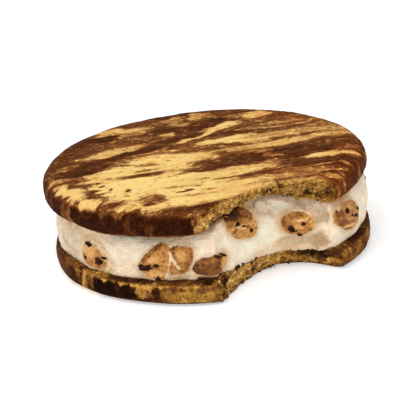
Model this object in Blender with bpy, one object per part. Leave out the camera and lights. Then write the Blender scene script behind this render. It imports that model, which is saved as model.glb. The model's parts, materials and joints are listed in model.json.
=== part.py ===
"""Cookie ice cream sandwich with one bite taken out of its rim.

Two round marbled cookies hold a disc of ice cream with lumps of cookie dough in it. A bite of
one mouth's width goes through all three layers. Every layer and every lump is a closed solid of
its own. Metres, +Z up, resting on the flat underside of the lower cookie at z = 0, with +Y
pointing away from the side that has the bite.
"""

import math

import bmesh
import bpy
from mathutils import Vector, noise

MM = 0.001

# Driving dimensions.
TOP_RADIUS = 42.8 * MM
TOP_THICKNESS = 7.4 * MM
BASE_RADIUS = 41.8 * MM
BASE_THICKNESS = 6.3 * MM
FILLING_RADIUS = 41.35 * MM
FILLING_HEIGHT = 11.7 * MM
GAP = 0.3 * MM

# Where the layers lie on each other, in plan.
TOP_CENTRE = Vector((0.0, 0.0))
BASE_CENTRE = Vector((0.8, -1.0)) * MM
FILLING_CENTRE = Vector((0.9, 0.9)) * MM
TOP_TILT = math.radians(0.5)

# Rounded edges: how far each reaches in from the rim, and how high.
TOP_SHOULDER = (4.6 * MM, 3.4 * MM)
TOP_LOWER_EDGE = (2.4 * MM, 2.0 * MM)
BASE_SHOULDER = (2.6 * MM, 1.8 * MM)
BASE_LOWER_EDGE = (2.6 * MM, 2.2 * MM)

# Baked unevenness: a rim swell is (direction in degrees, width in degrees, height).
TOP_SWELLS = ((22, 16, 0.3 * MM), (58, 14, 0.5 * MM), (102, 14, 0.3 * MM), (136, 18, 1.0 * MM))
BASE_SWELLS = ((-135, 26, 0.5 * MM), (-25, 16, 0.5 * MM), (100, 30, -0.4 * MM))
FILLING_SWELLS = ((180, 12, -0.9 * MM), (-68, 12, 0.5 * MM), (-12, 20, 0.3 * MM), (120, 22, 0.4 * MM))
RIM_RIPPLE = 0.12 * MM
CRUST_WAVE = 0.16 * MM
CRUST_WAVE_LENGTH = 16 * MM
DOME = 0.45 * MM

# The upper cookie is pinched thin where the teeth closed on it, and droops at its front left.
PINCH_PLACE = Vector((12.5, -27.5)) * MM
PINCH_REACH = 17 * MM
PINCH_RISE = 3.7 * MM
DROOP_PLACE = Vector((-19.0, -36.0)) * MM
DROOP_REACH = 24 * MM
DROOP_DEPTH = 1.1 * MM

# The bite, in its own plan axes: along the line between its two corners, and inwards from it.
BITE_CORNER = Vector((1.8, -43.3)) * MM
BITE_BEARING = math.radians(23)
BITE_SPAN = (-9 * MM, 41 * MM)
BITE_COLUMNS = 32
BITE_RUN_OUT = 26 * MM
BITE_LEFT_WIDTH = 19.5 * MM
BITE_RIGHT_WIDTH = 12.6 * MM
BITE_LEFT_POWER = 1.6
BITE_RIGHT_POWER = 2.2
TOOTH_WIDTH = 6.6 * MM
TOOTH_RIDGE = 0.45 * MM
# Each level is (height, depth at the corners, greatest depth, where that is along the line).
BITE_LEVELS = (
    (-2.0 * MM, 4.2 * MM, 16.6 * MM, 23.0 * MM),
    (0.0 * MM, 3.8 * MM, 15.7 * MM, 22.5 * MM),
    (3.0 * MM, 3.3 * MM, 13.9 * MM, 21.5 * MM),
    (6.4 * MM, 3.0 * MM, 11.5 * MM, 20.0 * MM),
    (9.5 * MM, 3.3 * MM, 11.2 * MM, 19.5 * MM),
    (14.0 * MM, 3.6 * MM, 12.0 * MM, 19.5 * MM),
    (18.0 * MM, 4.2 * MM, 13.2 * MM, 19.5 * MM),
    (21.6 * MM, 4.0 * MM, 11.9 * MM, 19.5 * MM),
    (24.3 * MM, 1.2 * MM, 8.2 * MM, 19.5 * MM),
    (25.6 * MM, 0.0 * MM, 6.2 * MM, 19.5 * MM),
    (28.0 * MM, -3.0 * MM, 2.0 * MM, 19.5 * MM),
)
BITE_ROW_STEP = 1.3 * MM

# Lumps of dough round the side of the filling: name, direction in degrees, height of the middle,
# half sizes along the side, upwards and into the filling, turn in degrees.
SIDE_LUMPS = (
    ("dough_left", -137.5, 9.8, (5.5, 3.8, 4.4), 6),
    ("dough_front", -111.8, 11.0, (5.4, 4.2, 4.0), 34),
    ("dough_front_split", -101.2, 11.3, (2.7, 3.9, 2.8), -6),
    ("dough_oval", -91.8, 9.2, (4.2, 2.4, 2.5), 3),
    ("dough_right", -33.4, 12.2, (6.2, 3.5, 4.4), -14),
    ("dough_right_back", 9.0, 11.2, (5.2, 3.6, 4.2), -20),
    ("dough_back_right", 47.0, 13.4, (4.4, 3.1, 3.8), 12),
    ("dough_back", 86.0, 10.6, (5.6, 3.6, 4.4), -8),
    ("dough_back_left", 127.0, 13.0, (4.6, 3.5, 4.0), 35),
    ("dough_left_back", 166.0, 10.8, (5.0, 3.3, 4.2), -30),
)
# A lump's middle lies just inside the face that shows it; outwards it swells only this far.
LUMP_DEPTH = 0.5 * MM
LUMP_SWELL = 1.25 * MM
# Lumps that the bite laid bare: name, place along the bite, height, half sizes, turn in degrees.
BITE_LUMPS = (
    ("dough_bite_left", 11.0, 16.0, (5.4, 4.5, 4.6), -22),
    ("dough_bite_right", 26.0, 12.8, (4.2, 3.0, 4.0), 4),
)
BITE_LUMP_DEPTH = 0.3 * MM
BITE_LUMP_SWELL = 2.0 * MM

# Fineness of the meshes.
SEGMENTS = 64
SHOULDER_STEPS = 4
LOWER_STEPS = 3
FACE_FRACTIONS = (0.3, 0.55, 0.76, 0.92)
UNDER_FRACTIONS = (0.3, 0.5, 0.66, 0.8, 0.92)
FILLING_LEVELS = 9
SEED = 7

COLOURS = {
    "cookie_top": (0.36, 0.19, 0.09),
    "cookie_base": (0.30, 0.16, 0.07),
    "ice_cream": (0.86, 0.78, 0.64),
    "dough": (0.62, 0.36, 0.16),
}
ROUGHNESS = {"cookie_top": 0.6, "cookie_base": 0.65, "ice_cream": 0.35, "dough": 0.5}


def smooth_bump(distance, reach):
    """1 at no distance, falling smoothly to 0 at reach."""
    share = max(0.0, 1.0 - distance / reach)
    return share * share * (3.0 - 2.0 * share)


def swell(angle, swells):
    """Height of all rim swells in one direction (radians)."""
    total = 0.0
    for direction, width, height in swells:
        turn = (math.degrees(angle) - direction + 180.0) % 360.0 - 180.0
        total += height * smooth_bump(abs(turn), 2.0 * width)
    return total


def ripple(angle, phase):
    """Fine unevenness of a baked rim in one direction."""
    waves = math.sin(5 * angle + phase) + 0.7 * math.sin(9 * angle + 2.1 * phase)
    return RIM_RIPPLE * (waves + 0.5 * math.sin(14 * angle + 3.7 * phase))


def crust_wave(x, y, phase):
    """Gentle rise and fall of a baked face."""
    place = Vector((x / CRUST_WAVE_LENGTH, y / CRUST_WAVE_LENGTH, phase))
    return CRUST_WAVE * noise.noise(place)


def seam_height(x, y):
    """Underside of the upper cookie, where the filling begins."""
    level = BASE_THICKNESS + FILLING_HEIGHT + x * math.tan(TOP_TILT)
    place = Vector((x, y))
    pinch = PINCH_RISE * smooth_bump((place - PINCH_PLACE).length, PINCH_REACH)
    droop = DROOP_DEPTH * smooth_bump((place - DROOP_PLACE).length, DROOP_REACH)
    return level + pinch - droop


def crust_height(x, y):
    """Upper face of the upper cookie."""
    level = BASE_THICKNESS + FILLING_HEIGHT + TOP_THICKNESS + x * math.tan(TOP_TILT)
    fall = DOME * (x * x + y * y) / TOP_RADIUS ** 2
    return level - fall + crust_wave(x, y, 0.4)


def directions():
    """The directions that every ring of points is built on."""
    return [2.0 * math.pi * step / SEGMENTS for step in range(SEGMENTS)]


def ring(centre, radius_at, height_at):
    """One closed ring of points; height_at reads the point's plan place."""
    points = []
    for angle in directions():
        radius = radius_at(angle)
        x = centre.x + radius * math.cos(angle)
        y = centre.y + radius * math.sin(angle)
        points.append(Vector((x, y, height_at(x, y))))
    return points


def skin_rings(name, low_centre, rings, high_centre):
    """A closed body from rings that run out along its underside, up its side and in over its top."""
    mesh = bmesh.new()
    loops = [[mesh.verts.new(point) for point in points] for points in rings]
    low = mesh.verts.new(low_centre)
    high = mesh.verts.new(high_centre)
    for step in range(SEGMENTS):
        after = (step + 1) % SEGMENTS
        mesh.faces.new((low, loops[0][after], loops[0][step]))
        mesh.faces.new((high, loops[-1][step], loops[-1][after]))
        for inner, outer in zip(loops, loops[1:]):
            mesh.faces.new((inner[step], inner[after], outer[after], outer[step]))
    return add_object(name, mesh)


def add_object(name, mesh):
    """Turn a bmesh into a smooth-shaded object of the scene."""
    data = bpy.data.meshes.new(name)
    mesh.to_mesh(data)
    mesh.free()
    data.shade_smooth()
    data.set_sharp_from_angle(angle=math.radians(40))
    body = bpy.data.objects.new(name, data)
    bpy.context.scene.collection.objects.link(body)
    return body


def paint(body, key):
    """Give a body a material of its own."""
    material = bpy.data.materials.new(body.name)
    material.use_nodes = True
    shader = material.node_tree.nodes["Principled BSDF"]
    shader.inputs["Base Color"].default_value = (*COLOURS[key], 1.0)
    shader.inputs["Roughness"].default_value = ROUGHNESS[key]
    shader.inputs["Metallic"].default_value = 0.0
    body.data.materials.append(material)


def cookie(name, centre, rim_at, low_at, high_at, lower_edge, shoulder, under_fractions):
    """A baked disc: a face below, a rounded rim and a face above, all read from functions."""
    rings = []

    def at_fraction(fraction, inset):
        return lambda angle: fraction * (rim_at(angle) - inset)

    for fraction in under_fractions:
        rings.append(ring(centre, at_fraction(fraction, lower_edge[0]), low_at))
    for step in range(LOWER_STEPS + 1):
        turn = 0.5 * math.pi * step / LOWER_STEPS
        inset = lower_edge[0] * (1.0 - math.sin(turn))
        rise = lower_edge[1] * (1.0 - math.cos(turn))
        rings.append(ring(centre, lambda angle, inset=inset: rim_at(angle) - inset,
                          lambda x, y, rise=rise: low_at(x, y) + rise))
    for step in range(SHOULDER_STEPS + 1):
        turn = 0.5 * math.pi * step / SHOULDER_STEPS
        inset = shoulder[0] * (1.0 - math.cos(turn))
        fall = shoulder[1] * (1.0 - math.sin(turn))
        rings.append(ring(centre, lambda angle, inset=inset: rim_at(angle) - inset,
                          lambda x, y, fall=fall: high_at(x, y) - fall))
    for fraction in reversed(FACE_FRACTIONS):
        rings.append(ring(centre, at_fraction(fraction, shoulder[0]), high_at))
    low = Vector((centre.x, centre.y, low_at(centre.x, centre.y)))
    high = Vector((centre.x, centre.y, high_at(centre.x, centre.y)))
    return skin_rings(name, low, rings, high)


def build_top_cookie():
    """The upper cookie, slightly domed, tilted and pinched thin at the bite."""
    body = cookie("top_cookie", TOP_CENTRE,
                  lambda angle: TOP_RADIUS + swell(angle, TOP_SWELLS) + ripple(angle, 0.6),
                  seam_height, crust_height, TOP_LOWER_EDGE, TOP_SHOULDER, UNDER_FRACTIONS)
    paint(body, "cookie_top")
    return body


def build_base_cookie():
    """The lower cookie, flat below so that the sandwich stands on it."""
    body = cookie("base_cookie", BASE_CENTRE,
                  lambda angle: BASE_RADIUS + swell(angle, BASE_SWELLS) + ripple(angle, 2.3),
                  lambda x, y: 0.0, lambda x, y: BASE_THICKNESS,
                  BASE_LOWER_EDGE, BASE_SHOULDER, ())
    paint(body, "cookie_base")
    return body


def filling_radius(angle, share):
    """Radius of the filling's side at a share of its height: it bulges between the cookies."""
    bulge = 1.0 - abs(2.0 * share - 0.9) ** 2.6
    rim = FILLING_RADIUS - 1.5 * MM * (1.0 - bulge)
    return rim + swell(angle, FILLING_SWELLS) * bulge + 1.2 * ripple(angle, 4.4)


def build_filling():
    """The disc of ice cream, 0.3 mm clear of both cookies."""
    floor = BASE_THICKNESS + GAP
    rings = [ring(FILLING_CENTRE, lambda angle: filling_radius(angle, 0.0) - 1.0 * MM,
                  lambda x, y: floor)]
    for level in range(FILLING_LEVELS):
        share = 0.04 + 0.92 * level / (FILLING_LEVELS - 1)

        def height(x, y, share=share):
            return floor + share * (seam_height(x, y) - GAP - floor)

        rings.append(ring(FILLING_CENTRE, lambda angle, share=share: filling_radius(angle, share),
                          height))
    for fraction in reversed(UNDER_FRACTIONS):
        reach = fraction * (TOP_RADIUS - TOP_LOWER_EDGE[0])
        rings.append(ring(TOP_CENTRE, lambda angle, reach=reach: reach,
                          lambda x, y: seam_height(x, y) - GAP))
    low = Vector((FILLING_CENTRE.x, FILLING_CENTRE.y, floor))
    high = Vector((0.0, 0.0, seam_height(0.0, 0.0) - GAP))
    body = skin_rings("ice_cream", low, rings, high)
    paint(body, "ice_cream")
    return body


def bite_level(height):
    """Corner depth, greatest depth and its place at one height, between the named levels."""
    for lower, upper in zip(BITE_LEVELS, BITE_LEVELS[1:]):
        if height <= upper[0]:
            share = max(0.0, (height - lower[0]) / (upper[0] - lower[0]))
            return [low + share * (high - low) for low, high in zip(lower[1:], upper[1:])]
    return list(BITE_LEVELS[-1][1:])


def bite_depth(along, height):
    """How far the bite reaches in from its corner line: a lopsided arch of tooth marks."""
    corner, deepest, middle = bite_level(height)
    offset = along - middle
    if offset < 0.0:
        arch = 1.0 - (-offset / BITE_LEFT_WIDTH) ** BITE_LEFT_POWER
    else:
        arch = 1.0 - (offset / BITE_RIGHT_WIDTH) ** BITE_RIGHT_POWER
    ridge = abs(math.cos(math.pi * along / TOOTH_WIDTH)) ** 4
    return corner + (deepest - corner) * arch - TOOTH_RIDGE * ridge


def bite_point(along, depth, height):
    """A point of the bite's own plan axes, in the object's frame."""
    line = Vector((math.cos(BITE_BEARING), math.sin(BITE_BEARING)))
    inward = Vector((-line.y, line.x))
    place = BITE_CORNER + along * line + depth * inward
    return Vector((place.x, place.y, height))


def build_bite():
    """The cutter: the bitten face, run out well past the rim, closed all round."""
    lowest = BITE_LEVELS[0][0]
    highest = BITE_LEVELS[-1][0]
    rows = round((highest - lowest) / BITE_ROW_STEP)
    mesh = bmesh.new()
    faces = []
    backs = []
    for row in range(rows + 1):
        height = lowest + (highest - lowest) * row / rows
        face = []
        back = []
        for column in range(BITE_COLUMNS + 1):
            along = BITE_SPAN[0] + (BITE_SPAN[1] - BITE_SPAN[0]) * column / BITE_COLUMNS
            face.append(mesh.verts.new(bite_point(along, bite_depth(along, height), height)))
            back.append(mesh.verts.new(bite_point(along, -BITE_RUN_OUT, height)))
        faces.append(face)
        backs.append(back)
    for row in range(rows):
        for column in range(BITE_COLUMNS):
            right = column + 1
            above = row + 1
            mesh.faces.new((faces[row][right], faces[row][column],
                            faces[above][column], faces[above][right]))
            mesh.faces.new((backs[row][column], backs[row][right],
                            backs[above][right], backs[above][column]))
        for column in (0, BITE_COLUMNS):
            mesh.faces.new((faces[row][column], backs[row][column],
                            backs[row + 1][column], faces[row + 1][column]))
    for column in range(BITE_COLUMNS):
        for row in (0, rows):
            mesh.faces.new((faces[row][column], faces[row][column + 1],
                            backs[row][column + 1], backs[row][column]))
    bmesh.ops.recalc_face_normals(mesh, faces=mesh.faces)
    return as_cutter(add_object("bite", mesh))


def as_cutter(body):
    """Mark a body as one that only cuts others."""
    body.hide_render = True
    body.display_type = "WIRE"
    return body


def cut(body, cutter):
    """Take one body's room out of another."""
    boolean = body.modifiers.new(cutter.name, "BOOLEAN")
    boolean.operation = "DIFFERENCE"
    boolean.solver = "EXACT"
    boolean.object = cutter


def between_cookies(point):
    """Hold a point of a lump clear of the cookies that press on it."""
    low = BASE_THICKNESS + 2.0 * GAP
    high = seam_height(point.x, point.y) - 2.0 * GAP
    return Vector((point.x, point.y, min(max(point.z, low), high)))


def lump_mesh(name, middle, axes, half_sizes, swell_out, clearance, phase):
    """An uneven lump of dough, flatter on its outer side, then grown by a clearance."""
    mesh = bmesh.new()
    bmesh.ops.create_icosphere(mesh, subdivisions=2, radius=1.0)
    along, upward, outward = axes
    for vert in mesh.verts:
        way = vert.co.normalized()
        uneven = 1.0 + 0.17 * noise.noise(way * 1.3 + Vector((phase, SEED, 0.0)))
        flat = max(abs(way.x), abs(way.y), abs(way.z))
        reach = uneven * (0.82 + 0.18 / flat * 0.9)
        depth = swell_out if way.z > 0.0 else half_sizes[2]
        offset = reach * Vector((way.x * half_sizes[0], way.y * half_sizes[1], way.z * depth))
        grown = offset + offset.normalized() * clearance
        point = middle + grown.x * along + grown.y * upward + grown.z * outward
        vert.co = point if clearance else between_cookies(point)
    return add_object(name, mesh)


def lump(name, middle, axes, half_sizes, swell_out, filling, phase):
    """A lump of dough and the pocket that it sits in."""
    body = lump_mesh(name, middle, axes, half_sizes, swell_out, 0.0, phase)
    paint(body, "dough")
    pocket = lump_mesh(name + "_pocket", middle, axes, half_sizes, swell_out, 1.4 * GAP, phase)
    cut(filling, as_cutter(pocket))


def turned_axes(along, upward, outward, turn):
    """Axes of a lump, turned about the way out of the filling."""
    cos, sin = math.cos(turn), math.sin(turn)
    return cos * along + sin * upward, cos * upward - sin * along, outward


def build_side_lumps(filling):
    """Lumps that stand a little out of the filling's side."""
    for index, (name, direction, height, half_sizes, turn) in enumerate(SIDE_LUMPS):
        angle = math.radians(direction)
        sizes = [size * MM for size in half_sizes]
        outward = Vector((math.cos(angle), math.sin(angle), 0.0))
        share = (height * MM - BASE_THICKNESS) / FILLING_HEIGHT
        reach = filling_radius(angle, share) - LUMP_DEPTH
        middle = Vector((*FILLING_CENTRE, height * MM)) + reach * outward
        axes = turned_axes(Vector((-outward.y, outward.x, 0.0)), Vector((0.0, 0.0, 1.0)), outward,
                           math.radians(turn))
        lump(name, middle, axes, sizes, LUMP_SWELL, filling, 1.7 * index)


def build_bite_lumps(filling):
    """Lumps that stand out of the bitten face of the filling."""
    for index, (name, along, height, half_sizes, turn) in enumerate(BITE_LUMPS):
        sizes = [size * MM for size in half_sizes]
        place = along * MM
        level = height * MM
        step = 1.0 * MM
        face = bite_point(place, bite_depth(place, level), level)
        ahead = bite_point(place + step, bite_depth(place + step, level), level)
        run = (ahead - face).normalized()
        outward = Vector((run.y, -run.x, 0.0)).normalized()
        middle = face - BITE_LUMP_DEPTH * outward
        axes = turned_axes(run, Vector((0.0, 0.0, 1.0)), outward, math.radians(turn))
        lump(name, middle, axes, sizes, BITE_LUMP_SWELL, filling, 20.0 + 1.7 * index)


def main():
    """Clear the scene and build the sandwich under one empty."""
    for old in list(bpy.data.objects):
        bpy.data.objects.remove(old)
    bite = build_bite()
    layers = [build_base_cookie(), build_filling(), build_top_cookie()]
    for layer in layers:
        cut(layer, bite)
    filling = layers[1]
    build_side_lumps(filling)
    build_bite_lumps(filling)
    sandwich = bpy.data.objects.new("sandwich", None)
    bpy.context.scene.collection.objects.link(sandwich)
    for body in bpy.data.objects:
        if body.type == "MESH":
            body.parent = sandwich


main()
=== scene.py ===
"""Looks of a bitten ice cream sandwich: marbled cookies, vanilla ice cream and lumps of dough.

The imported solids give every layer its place. Each one is copied, remeshed finely, given its baked,
frozen or crumbly relief, and dressed with a procedural finish. Crumbs and chocolate chips are
added as meshes of their own.
"""
import json
import logging
import math
from dataclasses import dataclass
from enum import Enum

import bpy
import numpy as np
from mathutils import Matrix, Vector, noise
from mathutils.bvhtree import BVHTree
from mathutils.kdtree import KDTree

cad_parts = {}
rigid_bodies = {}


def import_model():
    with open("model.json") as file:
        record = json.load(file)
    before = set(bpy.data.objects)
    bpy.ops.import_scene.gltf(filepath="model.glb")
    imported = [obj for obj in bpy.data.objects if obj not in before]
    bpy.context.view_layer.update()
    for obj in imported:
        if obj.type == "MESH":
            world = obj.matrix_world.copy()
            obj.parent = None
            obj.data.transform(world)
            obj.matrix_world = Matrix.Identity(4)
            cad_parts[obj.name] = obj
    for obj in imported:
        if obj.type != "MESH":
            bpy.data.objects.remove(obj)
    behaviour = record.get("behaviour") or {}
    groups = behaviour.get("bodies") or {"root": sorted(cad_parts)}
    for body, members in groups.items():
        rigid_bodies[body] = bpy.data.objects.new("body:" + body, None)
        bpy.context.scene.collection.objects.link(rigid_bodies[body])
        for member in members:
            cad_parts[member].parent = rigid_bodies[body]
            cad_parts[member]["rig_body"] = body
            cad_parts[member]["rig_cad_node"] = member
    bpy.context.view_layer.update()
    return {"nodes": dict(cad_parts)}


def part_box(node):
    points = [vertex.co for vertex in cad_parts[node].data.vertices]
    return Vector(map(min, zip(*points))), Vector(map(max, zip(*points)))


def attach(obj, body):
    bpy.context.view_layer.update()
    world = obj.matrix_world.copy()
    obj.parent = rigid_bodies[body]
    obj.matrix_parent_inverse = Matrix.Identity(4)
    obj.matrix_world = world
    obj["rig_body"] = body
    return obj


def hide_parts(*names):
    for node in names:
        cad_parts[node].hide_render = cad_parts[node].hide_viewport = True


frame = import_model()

MM = 0.001
LOG = logging.getLogger("sandwich")
MARBLING_SEED = 2
Colour = tuple[float, float, float]
Array = np.ndarray


# ---------------------------------------------------------------- shader maths


class Value:
    """One shader socket; arithmetic on it adds Math nodes."""

    def __init__(self, recipe: "Recipe", socket: bpy.types.NodeSocket) -> None:
        """Keep the socket and the recipe that it belongs to."""
        self.recipe = recipe
        self.socket = socket

    def _math(self, operation: str, first: "Value | float", second: "Value | float") -> "Value":
        """Add one Math node on two operands."""
        return self.recipe.node("ShaderNodeMath", {"operation": operation}, {0: first, 1: second})

    def __add__(self, other: "Value | float") -> "Value":
        """Sum of two values."""
        return self._math("ADD", self, other)

    def __radd__(self, other: float) -> "Value":
        """Sum with a number on the left."""
        return self._math("ADD", other, self)

    def __sub__(self, other: "Value | float") -> "Value":
        """Difference of two values."""
        return self._math("SUBTRACT", self, other)

    def __rsub__(self, other: float) -> "Value":
        """Difference from a number on the left."""
        return self._math("SUBTRACT", other, self)

    def __mul__(self, other: "Value | float") -> "Value":
        """Product of two values."""
        return self._math("MULTIPLY", self, other)

    def __rmul__(self, other: float) -> "Value":
        """Product with a number on the left."""
        return self._math("MULTIPLY", other, self)

    def __abs__(self) -> "Value":
        """Size without the sign."""
        return self._math("ABSOLUTE", self, 0.0)

    def bigger(self, other: "Value | float") -> "Value":
        """The larger of two values."""
        return self._math("MAXIMUM", self, other)

    def step(self, low: float, high: float) -> "Value":
        """0 at low, 1 at high, easing between; low may be the larger."""
        return self.recipe.node("ShaderNodeMapRange", {"interpolation_type": "SMOOTHSTEP"},
                                {"Value": self, "From Min": low, "From Max": high})


Socket = Value | float | tuple


def linear(red: int, green: int, blue: int) -> Colour:
    """Turn a colour as an eye names it, 0 to 255, into linear light.

    Args:
        red: Red, 0 to 255.
        green: Green, 0 to 255.
        blue: Blue, 0 to 255.

    Returns:
        The three linear parts.
    """
    parts = [part / 255 for part in (red, green, blue)]
    return tuple(p / 12.92 if p <= 0.04045 else ((p + 0.055) / 1.055) ** 2.4 for p in parts)


class Recipe:
    """A material and the one method that adds any node to it."""

    def __init__(self, name: str) -> None:
        """Start an empty material with its output."""
        self.material = bpy.data.materials.new(name)
        self.material.use_nodes = True
        self.tree = self.material.node_tree
        self.tree.nodes.clear()
        self.output = self.tree.nodes.new("ShaderNodeOutputMaterial")

    def node(self, kind: str, settings: dict | None = None,
             inputs: dict[int | str, Socket] | None = None, output: int | str = 0) -> Value:
        """Add a node.

        Args:
            kind: The node's type.
            settings: Its own settings; "stops" are a ramp's (place, colour) pairs.
            inputs: A value or a link for each socket named or numbered.
            output: The output to hand back.

        Returns:
            The chosen output.
        """
        made = self.tree.nodes.new(kind)
        for key, setting in (settings or {}).items():
            if key == "stops":
                self._set_stops(made.color_ramp, setting)
            else:
                setattr(made, key, setting)
        for key, given in (inputs or {}).items():
            if isinstance(given, Value):
                self.tree.links.new(given.socket, made.inputs[key])
            else:
                made.inputs[key].default_value = given
        return Value(self, made.outputs[output])

    @staticmethod
    def _set_stops(ramp: bpy.types.ColorRamp, stops: list[tuple[float, Colour]]) -> None:
        """Give a ramp its colours."""
        while len(ramp.elements) < len(stops):
            ramp.elements.new(0.5)
        for element, (place, colour) in zip(ramp.elements, stops):
            element.position = place
            element.color = (*colour, 1.0)

    def place(self) -> Value:
        """The point in the piece's own coordinates."""
        return self.node("ShaderNodeTexCoord", output="Object")

    def attribute(self, name: str) -> Value:
        """A number painted on the piece's points."""
        return self.node("ShaderNodeAttribute", {"attribute_name": name}, output="Fac")

    def grain(self, place: Value, size: Colour, turn: float = 0.0, detail: float = 3.0,
              roughness: float = 0.55) -> Value:
        """Noise from -1 to 1 whose features have a size along each axis.

        Args:
            place: The point to read it at.
            size: Size of a feature along x, y and z, in metres.
            turn: Turn of the pattern about z, in radians.
            detail: How many finer layers it has.
            roughness: How strong those are.

        Returns:
            The noise.
        """
        turned = self.node("ShaderNodeMapping", {"vector_type": "POINT"},
                           {"Vector": place, "Rotation": (0.0, 0.0, -turn)})
        scaled = self.node("ShaderNodeVectorMath", {"operation": "DIVIDE"}, {0: turned, 1: size})
        raw = self.node("ShaderNodeTexNoise", {"normalize": True},
                        {"Vector": scaled, "Scale": 1.0, "Detail": detail, "Roughness": roughness})
        return raw * 4.0 - 2.0

    def cells(self, place: Value, size: Colour, turn: float = 0.0) -> Value:
        """Distance from the nearest of many scattered points, in cell sizes, with frayed edges.

        Args:
            place: The point to read it at.
            size: Size of a cell along x, y and z, in metres.
            turn: Turn of the pattern about z, in radians.

        Returns:
            The distance.
        """
        frayed = self.node("ShaderNodeTexNoise", None,
                           {"Vector": place, "Scale": 0.9 / min(size) * 2.0, "Detail": 2.0}, output="Color")
        moved = self.node("ShaderNodeVectorMath", {"operation": "MULTIPLY_ADD"},
                          {0: frayed, 1: size, 2: place})
        turned = self.node("ShaderNodeMapping", {"vector_type": "POINT"},
                           {"Vector": moved, "Rotation": (0.0, 0.0, -turn)})
        scaled = self.node("ShaderNodeVectorMath", {"operation": "DIVIDE"}, {0: turned, 1: size})
        return self.node("ShaderNodeTexVoronoi", {"feature": "F1"},
                         {"Vector": scaled, "Scale": 1.0}, output="Distance")

    def ramp(self, value: Value, low: float, high: float,
             stops: list[tuple[float, Colour]]) -> Value:
        """Colour of a value between low and high, from stops given in the value's own terms."""
        span = [((place - low) / (high - low), colour) for place, colour in stops]
        share = self.node("ShaderNodeMapRange", None,
                          {"Value": value, "From Min": low, "From Max": high})
        return self.node("ShaderNodeValToRGB", {"stops": span}, {0: share})

    def mix(self, share: Socket, first: Socket, second: Socket, blend: str = "MIX") -> Value:
        """Mix two colours; share 0 gives the first."""
        parts = [(*part, 1.0) if isinstance(part, tuple) else part for part in (first, second)]
        return self.node("ShaderNodeMix", {"data_type": "RGBA", "blend_type": blend},
                         {0: share, 6: parts[0], 7: parts[1]}, output=2)

    def bump(self, height: Value, strength: float, distance: float) -> Value:
        """Normal of a surface with a small relief of its own."""
        return self.node("ShaderNodeBump", None,
                         {"Height": height, "Strength": strength, "Distance": distance})

    def finish(self, **inputs: Socket) -> bpy.types.Material:
        """Close the recipe with one Principled shader.

        Args:
            **inputs: The shader's sockets, with underscores for the spaces in their names.

        Returns:
            The finished material.
        """
        sockets = {key.replace("_", " "): given for key, given in inputs.items()}
        shader = self.node("ShaderNodeBsdfPrincipled", None, sockets)
        self.tree.links.new(shader.socket, self.output.inputs["Surface"])
        return self.material


# ---------------------------------------------------------------- finishes


CRUMB_STOPS = [
    (-1.3, linear(42, 18, 2)), (-0.8, linear(78, 42, 5)), (-0.35, linear(124, 80, 25)),
    (0.0, linear(162, 116, 47)), (0.35, linear(194, 146, 69)), (0.8, linear(224, 180, 99)),
    (1.2, linear(240, 208, 140))]


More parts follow.
